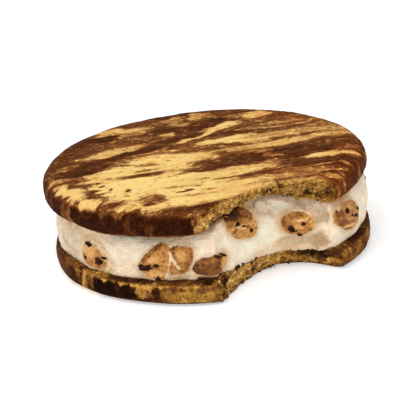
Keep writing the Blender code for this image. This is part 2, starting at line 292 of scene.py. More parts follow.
@dataclass(frozen=True)
class BakedFinish:
    """Marbled cookie: chocolate and butter dough, with an open crumb where it is bitten."""

    name: str
    soot: Colour
    chocolate: Colour
    brown: Colour
    toast: Colour
    tan: Colour
    butter: Colour
    cream: Colour
    blush: Colour = (1.0, 0.73, 0.54)
    blushing: float = 0.75
    calm: float = 0.35
    fleck: float = 0.5
    bearing: float = math.radians(11)
    roughness: float = 0.68

    def make(self) -> bpy.types.Material:
        """Build the material from the painted butter, wall and crumb values."""
        recipe = Recipe(self.name)
        place = recipe.place()
        wall = recipe.attribute("wall")
        share = recipe.attribute("butter")
        streak = recipe.grain(place, (7.0 * MM, 1.2 * MM, 3 * MM), self.bearing, 4.0, 0.65)
        upright = recipe.grain(place, (1.1 * MM, 1.1 * MM, 4 * MM), 0.0, 3.0, 0.6)
        blotch = recipe.grain(place, (3.0 * MM, 1.6 * MM, 2.0 * MM), self.bearing, 5.0, 0.75)
        speckle = recipe.grain(place, (0.95 * MM, 0.65 * MM, 0.8 * MM), self.bearing, 3.0, 0.65)
        grit = recipe.grain(place, (0.40 * MM, 0.36 * MM, 0.36 * MM), 0.0, 2.0)
        patch = recipe.grain(place, (8 * MM, 5 * MM, 5 * MM), self.bearing, 2.0)
        drawn = streak * 0.30 * (1.0 - wall) + upright * 0.30 * wall
        rich = share.step(0.25, 0.85)
        mottled = (drawn + blotch * 0.40 + speckle * 0.26) * (1.0 - rich * 0.48) * (1.0 - wall * self.calm)
        mixed = share + mottled + grit * (0.16 - rich * 0.05)
        pale = recipe.cells(place, (2.2 * MM, 1.3 * MM, 1.6 * MM), self.bearing)
        dark = recipe.cells(place, (2.7 * MM, 1.9 * MM, 2.0 * MM), 0.4 - self.bearing)
        flecks = (pale - patch * 0.10 - blotch * 0.06).step(0.34, 0.14) * (1.0 - rich) * (1.0 - wall * 0.6)
        scorch = (dark + patch * 0.12 + speckle * 0.03).step(0.27, 0.12) * rich
        vein = recipe.grain(place, (4.5 * MM, 2.0 * MM, 3 * MM), self.bearing, 3.0, 0.6)
        wisps = abs(vein).step(0.20, 0.0) * (patch + blotch * 0.5).step(-0.1, 0.7) * (1.0 - rich)
        mixed = mixed + flecks * self.fleck - scorch * 0.65 + wisps * (0.55 - wall * 0.35)
        dough = recipe.ramp(mixed, -1.3, 1.2, [
            (-1.3, self.soot), (-0.78, self.chocolate), (-0.36, self.brown), (-0.02, self.toast),
            (0.27, self.tan), (0.58, self.butter), (1.0, self.cream)])
        ruddy = recipe.grain(place, (3.6 * MM, 2.2 * MM, 3 * MM), self.bearing, 3.0) * 1.25
        blushed = (ruddy + recipe.attribute("ruddy") + speckle * 0.3).step(0.05, 1.15) * self.blushing
        warmed = recipe.mix(blushed, dough, self.blush, "MULTIPLY")
        bitten = recipe.attribute("crumb")
        near = bitten.step(0.02, 0.30)
        edge = (bitten + (speckle * 0.22 + blotch * 0.16) * near).step(0.36, 0.62)
        colour = recipe.mix(edge, warmed, crumb_colour(recipe, place, grit))
        relief = blotch * 0.25 + speckle * 0.4 + grit * 0.35
        return recipe.finish(
            Base_Color=colour,
            Roughness=(grit * 0.06 + speckle * 0.06 + self.roughness),
            Specular_IOR_Level=0.02,
            Normal=recipe.bump(relief, 0.7, 0.34 * MM))


def crumb_colour(recipe: Recipe, place: Value, grit: Value) -> Value:
    """Colour of the broken inside of a cookie: golden grains, with painted shade in the pores between them and in the
    hollows of the relief.
    """
    lump = recipe.grain(place, (1.9 * MM, 1.9 * MM, 1.5 * MM), 0.0, 4.0, 0.7)
    pit = recipe.cells(place, (1.9 * MM, 1.9 * MM, 1.5 * MM))
    # Painted shade in the pores between the grains.
    gap_shade = (pit - lump * 0.10).step(0.36, 0.10)
    tone = (recipe.attribute("tone") + lump * 0.62 + grit * 0.24 + 0.14 - gap_shade * 0.7
            - recipe.attribute("pore_shade") * 0.5)
    return recipe.ramp(tone, -1.3, 1.2, CRUMB_STOPS)


@dataclass(frozen=True)
class IceCreamFinish:
    """Vanilla ice cream: creamy white, frosty, light passing a little way into it."""

    name: str = "ice_cream"
    frost: Colour = linear(255, 246, 222)
    white: Colour = linear(255, 239, 212)
    milk: Colour = linear(244, 216, 184)
    half_shade: Colour = linear(200, 178, 148)
    grey: Colour = linear(146, 124, 98)
    stain_and_shade: Colour = linear(210, 158, 94)

    def make(self) -> bpy.types.Material:
        """Build the material from noise, the painted light and shade, and the stain values, which also carry painted
        shade.
        """
        recipe = Recipe(self.name)
        place = recipe.place()
        cloud = recipe.grain(place, (5.5 * MM, 5.5 * MM, 4 * MM), 0.0, 3.0)
        curd = recipe.grain(place, (1.9 * MM, 1.9 * MM, 1.6 * MM), 0.0, 3.0)
        frost = recipe.grain(place, (0.5 * MM, 0.5 * MM, 0.5 * MM), 0.0, 2.0)
        tone = recipe.attribute("tone") + cloud * 0.30 + curd * 0.32 + frost * 0.18
        # The tone is painted light and shade with noise on top: the shadow greys are painted shade in the hollows and
        # under the cookies, white and frost mostly painted highlights on the swellings.
        base = recipe.ramp(tone, -1.2, 1.2, [
            (-1.2, self.grey), (-0.45, self.half_shade), (0.1, self.milk), (0.6, self.white), (1.2, self.frost)])
        smear = recipe.attribute("stain_and_shade")
        stained_and_shaded = recipe.mix((smear + curd * 0.16 + frost * 0.06).step(0.05, 1.15), base, self.stain_and_shade)
        relief = curd * 0.45 + frost * 0.35 + cloud * 0.2
        return recipe.finish(
            Base_Color=stained_and_shaded,
            Roughness=(curd * 0.08 + frost * 0.05 + 0.42),
            Specular_IOR_Level=0.25,
            Subsurface_Weight=0.35,
            Subsurface_Radius=(1.0, 0.72, 0.50),
            Subsurface_Scale=1.8 * MM,
            Normal=recipe.bump(relief, 0.75, 0.48 * MM))


@dataclass(frozen=True)
class DoughFinish:
    """Raw cookie dough: golden tan, mottled, with ice cream smeared round its edge."""

    name: str = "cookie_dough"
    cream: Colour = linear(244, 220, 180)

    def make(self) -> bpy.types.Material:
        """Build the material from noise and the painted tone and smear values."""
        recipe = Recipe(self.name)
        place = recipe.place()
        patch = recipe.grain(place, (3.0 * MM, 3.0 * MM, 2.2 * MM), 0.0, 3.0)
        crumble = recipe.grain(place, (0.9 * MM, 0.9 * MM, 0.8 * MM), 0.0, 3.0, 0.65)
        fine = recipe.grain(place, (0.35 * MM, 0.35 * MM, 0.35 * MM), 0.0, 1.0)
        pit = recipe.cells(place, (1.6 * MM, 1.6 * MM, 1.3 * MM))
        pitted = (pit - patch * 0.10).step(0.30, 0.12)
        tone = recipe.attribute("tone") + patch * 0.26 + crumble * 0.28 + fine * 0.12 - pitted * 0.5
        dough = recipe.ramp(tone, -1.3, 1.1, [
            (-1.3, linear(46, 20, 6)), (-0.85, linear(98, 52, 17)), (-0.45, linear(148, 90, 36)),
            (-0.08, linear(196, 136, 66)), (0.3, linear(222, 166, 100)), (0.8, linear(240, 202, 146))])
        smear = recipe.attribute("smear")
        wet = recipe.mix((smear + crumble * 0.20 + patch * 0.14).step(0.10, 1.0) * 0.92, dough, self.cream)
        return recipe.finish(
            Base_Color=wet,
            Roughness=(crumble * 0.10 + 0.5),
            Specular_IOR_Level=0.2,
            Subsurface_Weight=0.12,
            Subsurface_Radius=(1.0, 0.5, 0.25),
            Subsurface_Scale=1.0 * MM,
            Normal=recipe.bump(crumble * 0.6 + fine * 0.4, 0.6, 0.32 * MM))


@dataclass(frozen=True)
class CrumbFinish:
    """Loose cookie crumbs, each with its own tone."""

    name: str = "loose_crumb"

    def make(self) -> bpy.types.Material:
        """Build the material from each grain's tone and fine mottling."""
        recipe = Recipe(self.name)
        place = recipe.place()
        grit = recipe.grain(place, (0.4 * MM,) * 3, 0.0, 2.0)
        return recipe.finish(
            Base_Color=crumb_colour(recipe, place, grit),
            Roughness=(grit * 0.05 + 0.7),
            Specular_IOR_Level=0.2,
            Normal=recipe.bump(grit, 0.4, 0.15 * MM))


@dataclass(frozen=True)
class GrainFinish:
    """Small loose things: crumbs or chocolate chips, mottled between two colours."""

    name: str
    dark: Colour
    light: Colour
    roughness: float
    patch: float = 0.9 * MM

    def make(self) -> bpy.types.Material:
        """Build the material from one mottling and one fine relief."""
        recipe = Recipe(self.name)
        place = recipe.place()
        mottle = recipe.grain(place, (self.patch,) * 3, 0.0, 3.0)
        fine = recipe.grain(place, (0.3 * MM,) * 3, 0.0, 1.0)
        return recipe.finish(
            Base_Color=recipe.mix((mottle * 0.8 + fine * 0.3).step(-0.9, 0.9), self.dark, self.light),
            Roughness=(mottle * 0.06 + self.roughness),
            Specular_IOR_Level=0.08,
            Normal=recipe.bump(fine, 0.6, 0.2 * MM))


@dataclass(frozen=True)
class FloorFinish:
    """Plain pale studio floor."""

    name: str = "studio_floor"
    colour: Colour = (0.68, 0.68, 0.68)
    glow: float = 0.46

    def make(self) -> bpy.types.Material:
        """Build the plain matt material."""
        recipe = Recipe(self.name)
        return recipe.finish(Base_Color=(*self.colour, 1.0), Roughness=0.9, Specular_IOR_Level=0.1,
                             Emission_Color=(1.0, 1.0, 1.0, 1.0), Emission_Strength=self.glow)


# ---------------------------------------------------------------- modelling helpers


def select_only(*pieces: bpy.types.Object) -> None:
    """Deselect everything, then select these pieces and make the first one active."""
    bpy.ops.object.select_all(action="DESELECT")
    for piece in pieces:
        piece.select_set(True)
    bpy.context.view_layer.objects.active = pieces[0]


def merged_copy(node: str, name: str) -> bpy.types.Object:
    """Copy a CAD node as a new piece with its loose triangles merged.

    Args:
        node: The CAD node.
        name: The new piece's name.

    Returns:
        The piece, at the origin, riding on nothing yet.
    """
    source = frame["nodes"][node]
    select_only(source)
    bpy.ops.object.duplicate()
    piece = bpy.context.view_layer.objects.active
    bpy.ops.object.parent_clear(type="CLEAR_KEEP_TRANSFORM")
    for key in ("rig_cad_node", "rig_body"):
        del piece[key]
    piece.name = name
    piece.data.name = name
    piece.data.materials.clear()
    bpy.ops.object.mode_set(mode="EDIT")
    bpy.ops.mesh.select_all(action="SELECT")
    bpy.ops.mesh.remove_doubles(threshold=0.001 * MM)
    bpy.ops.object.mode_set(mode="OBJECT")
    return piece


def apply(piece: bpy.types.Object, kind: str, **settings: object) -> None:
    """Add a modifier with these settings to a piece and apply it."""
    modifier = piece.modifiers.new(kind.lower(), kind)
    for key, setting in settings.items():
        setattr(modifier, key, setting)
    select_only(piece)
    bpy.ops.object.modifier_apply(modifier=modifier.name)


def relief_texture(kind: str, size: float, **settings: object) -> bpy.types.Texture:
    """A pattern for a Displace modifier, with features of one size in metres."""
    texture = bpy.data.textures.new(kind.lower(), kind)
    texture.noise_scale = size
    for key, setting in settings.items():
        setattr(texture, key, setting)
    return texture


def emboss(piece: bpy.types.Object, texture: bpy.types.Texture | None, height: float,
           group: str = "", middle: float = 0.5) -> None:
    """Raise a piece along its normals by a pattern, within a vertex group where one is named."""
    apply(piece, "DISPLACE", texture=texture, strength=height, mid_level=middle,
          vertex_group=group, texture_coords="LOCAL")


def points_of(piece: bpy.types.Object) -> Array:
    """Every point of a piece, in metres."""
    flat = np.empty(len(piece.data.vertices) * 3)
    piece.data.vertices.foreach_get("co", flat)
    return flat.reshape(-1, 3)


def normals_of(piece: bpy.types.Object) -> Array:
    """The normal at every point of a piece."""
    flat = np.empty(len(piece.data.vertices) * 3)
    piece.data.vertex_normals.foreach_get("vector", flat)
    return flat.reshape(-1, 3)


def paint(piece: bpy.types.Object, name: str, values: Array) -> None:
    """Store one number for each point, for the piece's material to read."""
    layer = piece.data.attributes.new(name, "FLOAT", "POINT")
    layer.data.foreach_set("value", values.astype(np.float32))


def weigh(piece: bpy.types.Object, name: str, values: Array, levels: int = 12) -> str:
    """Make a vertex group from values of 0 to 1, in a number of even levels."""
    group = piece.vertex_groups.new(name=name)
    steps = np.rint(np.clip(values, 0, 1) * levels).astype(int)
    for level in range(1, levels + 1):
        group.add(np.flatnonzero(steps == level).tolist(), level / levels, "REPLACE")
    return name


def ease(values: Array, low: float, high: float) -> Array:
    """0 at low, 1 at high, easing between; low may be the larger."""
    share = np.clip((values - low) / (high - low), 0.0, 1.0)
    return share * share * (3.0 - 2.0 * share)


def wobble(points: Array, size: float, seed: float) -> Array:
    """Smooth noise in three directions at every point, each about -1 to 1."""
    shift = Vector((seed, -seed, 0.5 * seed))
    return np.array([noise.noise_vector(Vector(point) / size + shift) for point in points])


def hum(points: Array, size: float, seed: float) -> Array:
    """Smooth noise at every point, about -1 to 1."""
    shift = Vector((seed, 2.0 * seed, -seed))
    return np.array([noise.noise(Vector(point) / size + shift) for point in points])


def smooth_shade(piece: bpy.types.Object) -> None:
    """Shade a piece smooth all over."""
    select_only(piece)
    bpy.ops.object.shade_smooth()


def dress(piece: bpy.types.Object, material: bpy.types.Material, slot: str, *nodes: str) -> None:
    """Give a piece its finish and its body, and hide the nodes that it stands for."""
    piece.data.materials.clear()
    piece.data.materials.append(material)
    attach(piece, "root")
    if nodes:
        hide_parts(*nodes)
    LOG.info("%s: %d faces", piece.name, len(piece.data.polygons))


# ---------------------------------------------------------------- the bite


@dataclass(frozen=True)
class BiteZone:
    """Where the bite is, so that broken faces can be told from baked ones."""

    corner: tuple[float, float] = (1.8, -43.3)
    bearing: float = math.radians(23)
    first: float = -4.0
    last: float = 33.5

    def unrolled(self, points: Array) -> Array:
        """Distance along the bite and height, in millimetres, of every point."""
        run = np.array([math.cos(self.bearing), math.sin(self.bearing)])
        along = (points[:, :2] / MM - np.array(self.corner)) @ run
        return np.column_stack([along, points[:, 2] / MM])

    def facing(self, points: Array, normals: Array, centre: Vector) -> Array:
        """How far each point belongs to the bitten face.

        Args:
            points: The piece's points.
            normals: Their normals.
            centre: The layer's middle.

        Returns:
            0 on the outer wall and the flat faces, 1 on the bitten face.
        """
        offset = points[:, :2] - np.array(centre[:2])
        reach = np.linalg.norm(offset, axis=1)
        radial = offset / np.maximum(reach, 1e-6)[:, None]
        flat = normals[:, :2]
        outward = (flat * radial).sum(axis=1) / np.maximum(np.linalg.norm(flat, axis=1), 1e-6)
        along = self.unrolled(points)[:, 0]
        front = ease(points[:, 1], -17 * MM, -19 * MM)
        sector = ease(along, self.first, self.first + 1.0) * ease(along, self.last, self.last - 1.5)
        turned = np.maximum(ease(outward, 0.96, 0.82), ease(reach, 41.5 * MM, 39.8 * MM))
        upright = ease(normals[:, 2], 0.85, 0.45) * ease(normals[:, 2], -0.98, -0.80)
        return front * sector * turned * upright


# ---------------------------------------------------------------- marbling


@dataclass(frozen=True)
class Streak:
    """A patch of one dough on a face, in millimetres and degrees; butter is -1 to 1."""

    x: float
    y: float
    length: float
    width: float
    bearing: float
    butter: float


@dataclass(frozen=True)
class Marbling:
    """Two doughs folded into each other, painted patch over patch; lengths in millimetres."""

    ground: float
    streaks: tuple[Streak, ...]
    pull: float = 11.0
    drift: tuple[float, float] = (2.6, 0.75)
    shiver: tuple[float, float] = (1.4, 0.55)
    fray: tuple[float, float] = (0.7, 0.34)
    stretch: float = 2.1
    softness: float = 1.0

    def paint(self, plan: Array, seed: float) -> Array:
        """How buttery each point is.

        Args:
            plan: Points of the face, in millimetres.
            seed: Tells one face's unevenness from another's.

        Returns:
            A value for each point, about -1 to 1.
        """
        cos, sin = math.cos(math.radians(self.pull)), math.sin(math.radians(self.pull))
        turn = np.array([[cos, -sin], [sin, cos]])
        turned = np.column_stack([(plan @ turn) / [self.stretch, 1.0], np.zeros(len(plan))])
        drift = (wobble(turned, 3.2, seed)[:, :2] * self.drift
                 + wobble(turned, 1.1, seed + 9)[:, :2] * self.shiver
                 + wobble(turned, 0.45, seed + 17)[:, :2] * self.fray)
        place = plan + drift @ turn.T
        field = np.full(len(plan), self.ground)
        for streak in self.streaks:
            bearing = math.radians(streak.bearing)
            offset = place - [streak.x, streak.y]
            along = (offset @ [math.cos(bearing), math.sin(bearing)]) / streak.length
            across = (offset @ [-math.sin(bearing), math.cos(bearing)]) / streak.width
            cover = ease(along ** 2 + across ** 2, 1.0 + 0.5 * self.softness, 1.0 - 0.5 * self.softness)
            field += (streak.butter - field) * cover
        return field


def streaks(rows: tuple[tuple[float, ...], ...]) -> tuple[Streak, ...]:
    """Turn rows of six numbers into streaks."""
    return tuple(Streak(*row) for row in rows)


# Upper face, front to the bite: ground tones, the wide butter field, chocolate through it, the
# thinner butter streaks behind, and single spots.
CRUST = Marbling(-0.42, streaks((
    (-31, 12, 9, 11, 0, -0.6), (-16, 15, 18, 4, 12, -0.35), (30, -20, 12, 9, 8, -0.38), (24, 21, 15, 6.5, 6, -0.25),
    (5, 5, 9, 3, 8, -0.35), (-36, -2, 7, 12, 0, -0.6), (35, 0, 8, 6, 0, -0.45),
    (8, 17, 10, 4, 10, -0.40), (-6, 30, 12, 8, 0, -0.35), (34, 14, 9, 4, 6, 0.02),
    (22, -25, 12, 4.5, 14, 0.12), (-26, 14, 9, 3, 15, -0.4),
    (-12, -20, 20, 7.5, 4, 1.0), (-12, -3.2, 14.5, 4.9, 5, 0.9), (-19, -9, 12, 4.5, 8, 0.9),
    (-8, -27, 20, 5, 3, 0.95), (-6, -34, 15, 4.2, 4, 0.9), (4, -18.5, 13, 3.6, 14, 0.75),
    (10, -13.8, 7.5, 2.2, 14, 0.5), (11, -25, 10, 4, 12, 0.75), (-34.5, -20, 7.5, 1.9, -64, 0.8),
    (-37.5, -10, 4, 1.6, 0, 0.35), (-30, -29.5, 6.5, 2.4, -55, 0.75), (-21, -36, 6, 2.0, -28, 0.6),
    (-34, -13.5, 3.4, 1.4, -50, -0.4), (-30.5, -19, 3.4, 1.0, -66, -0.3), (-28.2, -23, 2.4, 1.5, -60, -0.35),
    (-27, -28, 3.6, 0.9, -62, -0.15), (-23.5, -34, 4.6, 1.3, -46, -0.45), (-18, -38.6, 3.4, 1.1, -40, -0.5),
    (-15.5, -13.6, 6.5, 1.3, 3, -0.45), (-14.5, -5.5, 4, 1.4, -5, -0.05), (-20, -4.2, 2.4, 0.9, 0, -0.2),
    (-13.5, -9.6, 5, 0.9, 8, -0.05), (-3, -10.6, 3.4, 0.8, 4, 0.0), (-13.5, -31.5, 4.6, 2.8, -25, -0.3), (-14.5, -35, 2.8, 1.2, 0, -0.45),
    (-1, -13.6, 5, 1.7, 6, -0.6), (-6, -15.2, 3, 0.6, 0, -0.15), (-15, 4.2, 14, 1.6, 6, 0.05),
    (10, -9.4, 8, 3.4, 10, -0.75), (10, -5.6, 6, 3.2, 15, -0.7), (-7.5, -9.2, 5, 2.4, 4, 0.85), (37.5, -4.5, 2.6, 2.4, 0, -0.1), (25, -5, 10, 4.6, 5, -0.8),
    (36, -1, 8, 2.6, 0, -0.6), (-30, -4.8, 9, 3.5, 22, -0.8), (-36.5, -1.5, 2.6, 2.2, 0, -0.1), (-28, -14, 4.5, 2.2, 0, 0.75), (-22, 3.8, 13, 2.2, 22, -0.8),
    (-27, 21, 5, 2.4, 0, -0.95), (-11.5, 29, 2.6, 2.6, 0, -0.6), (-3, 23, 10, 4, 10, -0.8), (-8, 36, 6, 1.6, 8, -0.7), (27, -15.5, 9, 2.6, 8, -0.6), (17, -17.8, 5, 1.1, 16, 0.0),
    (34, -15, 8, 4, 0, -0.65), (0, -39.6, 9, 1.3, 3, -0.8), (-20, -39, 12, 1.6, -22, -0.8),
    (10, 16, 10, 2, 12, -0.65), (33, -26, 5, 6, 0, -0.6), (5, 28, 6, 3, 30, -0.9),
    (-6, 14, 7, 2.4, 20, -0.75), (-6, 38.6, 10, 1.8, 4, -0.85), (5, 36, 3, 3, 0, -0.6),
    (-24.5, 7.6, 9.5, 2.9, 22, 0.6), (-23, 27.2, 7.5, 2.7, 2, 0.6), (-26, 24.5, 4, 1.6, 10, 0.2), (-19, 22.8, 6, 1.6, 25, 0.12),
    (-9, 18.7, 3, 1.6, 5, 0.4), (-3.2, 12.8, 4.6, 1.2, 32, 0.6), (1, 16.4, 3.6, 1.1, 48, 0.65),
    (5.6, 22.0, 6.6, 2.4, 38, 0.85), (15, 30.5, 5, 3.2, 15, 0.65), (8.5, 30.5, 2.4, 2.4, 0, 0.0), (14, 17.6, 4, 1.3, 6, 0.0), (-7, 32.5, 2.0, 4.0, 0, 0.1),
    (-1.5, 34, 2.2, 4, 0, 0.4), (-6.5, 27, 2.6, 2.4, 0, 0.15), (10, 9.2, 10.5, 2.8, 4, 0.95), (13.5, 6.4, 5, 1.6, 4, 0.45),
    (22, 10.8, 11, 2.2, 6, 0.28), (34, 11.4, 6, 1.6, -15, 0.2), (25, 21, 8, 1, 5, 0.1),
    (22, 17.5, 7, 0.9, 5, 0.15), (12, 1.6, 8, 2.0, 5, 0.3), (23, 3.4, 9, 2.0, 13, 0.55),
    (34, 7, 7, 1.9, 8, 0.35), (33.5, -9.6, 8, 1.5, 4, 0.8), (15, -3.4, 2.4, 1.0, 26, 0.1), (18.4, -2.2, 2.0, 0.8, 12, 0.0),
    (17.5, -6.6, 3.6, 1.1, -35, 0.0), (13, -2, 6, 1.4, 8, -0.05), (16, -12, 4, 0.7, 14, 0.1), (20, -20, 7, 2.5, 15, -0.2),
    (12, -30, 9, 2.6, 22, 0.7), (23, -27.5, 7, 1.8, 12, 0.35), (30, -30, 4, 3, 0, 0.2),
    (27, -17.6, 6, 0.7, 6, 0.1), (21, -20.8, 7, 0.8, 12, 0.25), (30, -21.5, 5, 0.7, 4, 0.2),
    (19, -24, 7, 1.0, 14, 0.3), (32, -25, 5, 0.9, -4, 0.15), (36.5, -17, 3, 0.8, -20, 0.1),
    (-25, -13.4, 0.9, 0.6, 0, -0.6), (-28.2, -16.6, 1.1, 0.6, 20, -0.7), (-25.4, -18.6, 0.8, 0.5, 0, -0.6),
    (-30.4, -15.6, 0.8, 0.6, 0, -0.6), (-29.6, -22.6, 0.9, 0.6, 0, -0.7), (-26.4, -25.8, 1.0, 0.5, -30, -0.6),
    (-24, -21.8, 0.7, 0.5, 0, -0.6), (-32.4, -25.6, 1.0, 0.7, 0, -0.5), (-31, -10.6, 1.4, 0.5, 15, -0.5),
    (-21, -24.4, 1.2, 0.9, 0, -0.8), (-28, -21, 1.5, 1.1, 0, -0.6), (-28.4, -25, 1.2, 1.4, 0, -0.6),
    (0, -20.4, 2, 0.9, 0, -0.2), (-22, -31.8, 1.2, 1, 0, -0.8), (-6, -28.2, 2.6, 0.7, 8, -0.4),
    (-3, -25.5, 1.1, 0.6, 0, -0.3), (6, -21, 3, 0.6, 10, -0.1), (1, -28, 2, 0.5, 5, -0.2),
    (15, -20.4, 7, 1.7, 10, -0.4), (11, -22.8, 5, 0.8, 8, 0.1), (22, -26, 9, 1.0, 10, -0.15), (13, -26.6, 4, 0.7, 12, 0.2), (22, -21.4, 4, 0.8, 10, -0.2), (-7, -24.6, 5, 0.9, 6, 0.2), (-2, -31.5, 6, 0.8, 4, 0.25))), softness=1.3)

# Redder areas of both cookies, in plan.
RUDDY = Marbling(0.0, streaks((
    (26, 26, 14, 7, -40, 0.7), (2, 37, 12, 4, 0, 0.5), (24, -20, 12, 5, 10, 0.7),
    (38, -8, 5, 16, 0, 0.75), (33, -24, 8, 9, 30, 1.1), (15, -4, 6, 3, 10, 0.8), (-38, 8, 4, 10, 0, 0.3), (-14, -22, 18, 9, 0, -0.35),
    (8, 10, 10, 4, 10, -0.4), (22, 16, 9, 4, 0, -0.5))))

# Walls, unrolled: direction in degrees (here as x), height over the cookie's underside in
# millimetres (y), half widths in degrees and millimetres.
WALL_WAY = {"pull": 0.0, "drift": (1.8, 0.9), "shiver": (0.9, 0.4), "fray": (0.5, 0.3), "stretch": 0.8}
TOP_WALL = Marbling(-1.2, streaks((
    (-176, 4, 4, 4, 0, -0.6), (-165, 4, 2.5, 4, 0, -0.45), (-158, 3.5, 3, 3, 0, -0.85),
    (-148, 3.5, 2.2, 3.5, 0, -0.4), (-144.5, 4, 1.4, 3.2, 0, -0.2), (-139, 7.1, 6, 0.9, 0, 0.3),
    (-122, 7.0, 4, 0.7, 0, 0.1), (-128, 6.2, 2, 0.9, 0, -0.3),
    (-117, 3.4, 1.2, 2.4, 0, -0.75), (-110, 3, 1.4, 2, 0, -0.7), (-97, 7.4, 3.0, 1.1, 0, 0.1), (-93.6, 4.4, 2.0, 3.4, 0, 0.1), (-40, 4.6, 14, 5, 0, -0.6), (-52, 5.2, 1.1, 2.4, 0, 0.15),
    (-48, 4.0, 0.8, 2.6, 0, 0.0), (-44, 5.6, 1.0, 2.2, 0, 0.2), (-40, 4.0, 0.9, 2.6, 0, -0.1),
    (-35.5, 5.2, 1.0, 2.2, 0, 0.05), (-30, 3, 2, 3, 0, -0.7), (-12, 4, 16, 5, 0, -0.7), (-22, 4.6, 2.4, 2.6, 0, -0.2),
    (-8, 5.5, 2, 1.6, 0, -0.1), (6, 5.5, 6, 1.6, 0, 0.0), 
    (20, 4, 9, 4, 0, -0.75), (31, 5.4, 2.2, 2.2, 0, 0.1), (34.5, 4.2, 1.2, 3, 0, 0.25),
    (38, 5.8, 1.6, 1.6, 0, -0.2), (47, 3, 6, 4, 0, -0.9), (55, 6.2, 4, 1.1, 0, 0.2),
    (61, 5.4, 2.2, 1.9, 0, 0.35), (66, 4.4, 1.1, 3, 0, -0.1), (74, 3.6, 1.6, 3.6, 0, -0.35),
    (84, 5.4, 5, 0.9, 0, 0.1), (91, 4.6, 3, 1.5, 0, 0.35), (97, 5.0, 3.4, 1.1, 0, 0.1),
    (101, 4, 1.2, 3, 0, 0.0), (108, 4.4, 1.2, 3, 0, -0.4), (118, 4, 6, 4, 0, -0.8),
    (127, 5.8, 2.6, 1.3, 0, 0.2), (132, 5.2, 2.2, 2.0, 0, 0.35), (137, 4.4, 1.1, 3, 0, -0.25),
    (143, 3.4, 1.5, 3, 0, -0.1), (153, 6.4, 4, 1.0, 0, 0.15), (160, 5.4, 2.6, 1.6, 0, 0.25),
    (166, 4.4, 1.2, 3, 0, -0.3), (172, 4, 2.6, 3, 0, -0.45), (90, 7.2, 34, 1.0, 0, -0.95))), **WALL_WAY)

BASE_WALL = Marbling(-0.5, streaks((
    (-163, 3, 12, 5, 0, -0.38), (-150, 2.4, 4, 3, 0, -0.7), (-142.3, 3.0, 1.9, 2.6, 0, 0.42),
    (-147, 4.4, 1.6, 1.2, 0, -0.2), (-130, 2.6, 11, 3.4, 0, -1.3), (-139, 4.0, 1.2, 2.4, 0, -0.2),
    (-126, 3.0, 1.0, 2.6, 0, -0.8), (-114, 4.9, 5, 0.8, 0, 0.4), (-116.2, 3.2, 2.8, 1.7, 0, 0.3), (-116.5, 0.9, 3.6, 0.9, 0, -0.8),
    (-111.2, 3.0, 1.7, 2.0, 0, -0.85), (-99, 2.8, 9.5, 3.4, 0, 0.22), (-104, 4.9, 3, 0.9, 0, -0.3),
    # The long pale line along the front at 5.7 mm is a painted highlight on the wall's upper edge.
    (-93, 4.6, 4, 0.8, 0, -0.1), (-118, 5.7, 36, 0.75, 0, 0.55), (-25, 3, 16, 5, 0, -0.22),
    (-41, 2.4, 2.4, 1.1, 0, 0.1), (-37, 4.4, 2.6, 0.9, 0, 0.2), (-32, 2.2, 2.2, 1.0, 0, 0.0),
    (-28, 4.0, 2.0, 1.2, 0, 0.15), (-22, 2.6, 1.6, 1.2, 0, -0.55), (-18, 4.6, 2.4, 0.8, 0, 0.1),
    (-13, 3.0, 2.2, 1.2, 0, 0.1), (-7, 4, 1.4, 1.6, 0, -0.1),
    (4, 3, 6, 3, 0, -0.8), (12, 4.6, 2.4, 1.4, 0, 0.2), (17, 3.8, 1.6, 2.2, 0, 0.4),
    (22, 4.6, 2.4, 1.2, 0, 0.05), (28, 3, 1.2, 3, 0, -0.1), (36, 2.8, 3, 3, 0, -0.45),
    (43, 3.4, 1.3, 3, 0, 0.3), (47, 4.4, 1.6, 1.6, 0, -0.1), (58, 3, 7, 3.4, 0, -0.9),
    (69, 4.6, 2.6, 1.3, 0, 0.15), (75, 4.0, 2.2, 1.9, 0, 0.4), (80, 4.8, 2.6, 1.0, 0, 0.1),
    (88, 2.8, 3, 3, 0, -0.4), (96, 3.4, 1.2, 3, 0, -0.05), (101, 3.4, 1.6, 3, 0, 0.3),
    (108, 3.4, 1.2, 3, 0, -0.3), (117, 3, 5, 3.2, 0, -0.95), (126, 4.4, 2.4, 1.6, 0, 0.15),
    (132, 4.0, 2.0, 2.0, 0, 0.4), (138, 3, 1.2, 3, 0, -0.1), (148, 3, 5, 3, 0, -0.6),
    (157, 3.2, 1.4, 3, 0, 0.3), (161, 4.2, 2.0, 1.6, 0, 0.0), (172, 3, 5, 3, 0, -0.75))), **WALL_WAY)

# The ring of the lower cookie that shows round the ice cream, in plan; its darkest strokes next to the ice cream, as at
# the right, are partly painted shade under the ice cream's edge.
BASE_RIM = Marbling(-0.6, streaks((
    (-36, -18, 4, 5, 40, -0.2), (-30, -28, 5, 2, -40, 0.1), (-22, -34, 4, 1.4, -30, -0.9),
    (-12, -39, 6, 1.2, -15, -0.3), (0, -41, 5, 1.4, 0, -1.1), (38, -14, 3, 6, 10, -0.9),
    (40, 4, 2, 6, 0, -0.2), (30, 28, 6, 3, -45, 0.0), (4, 41, 8, 2, 0, -0.2),
    (-28, 30, 6, 3, 45, 0.1), (-40, 4, 2, 7, 0, -0.3))))
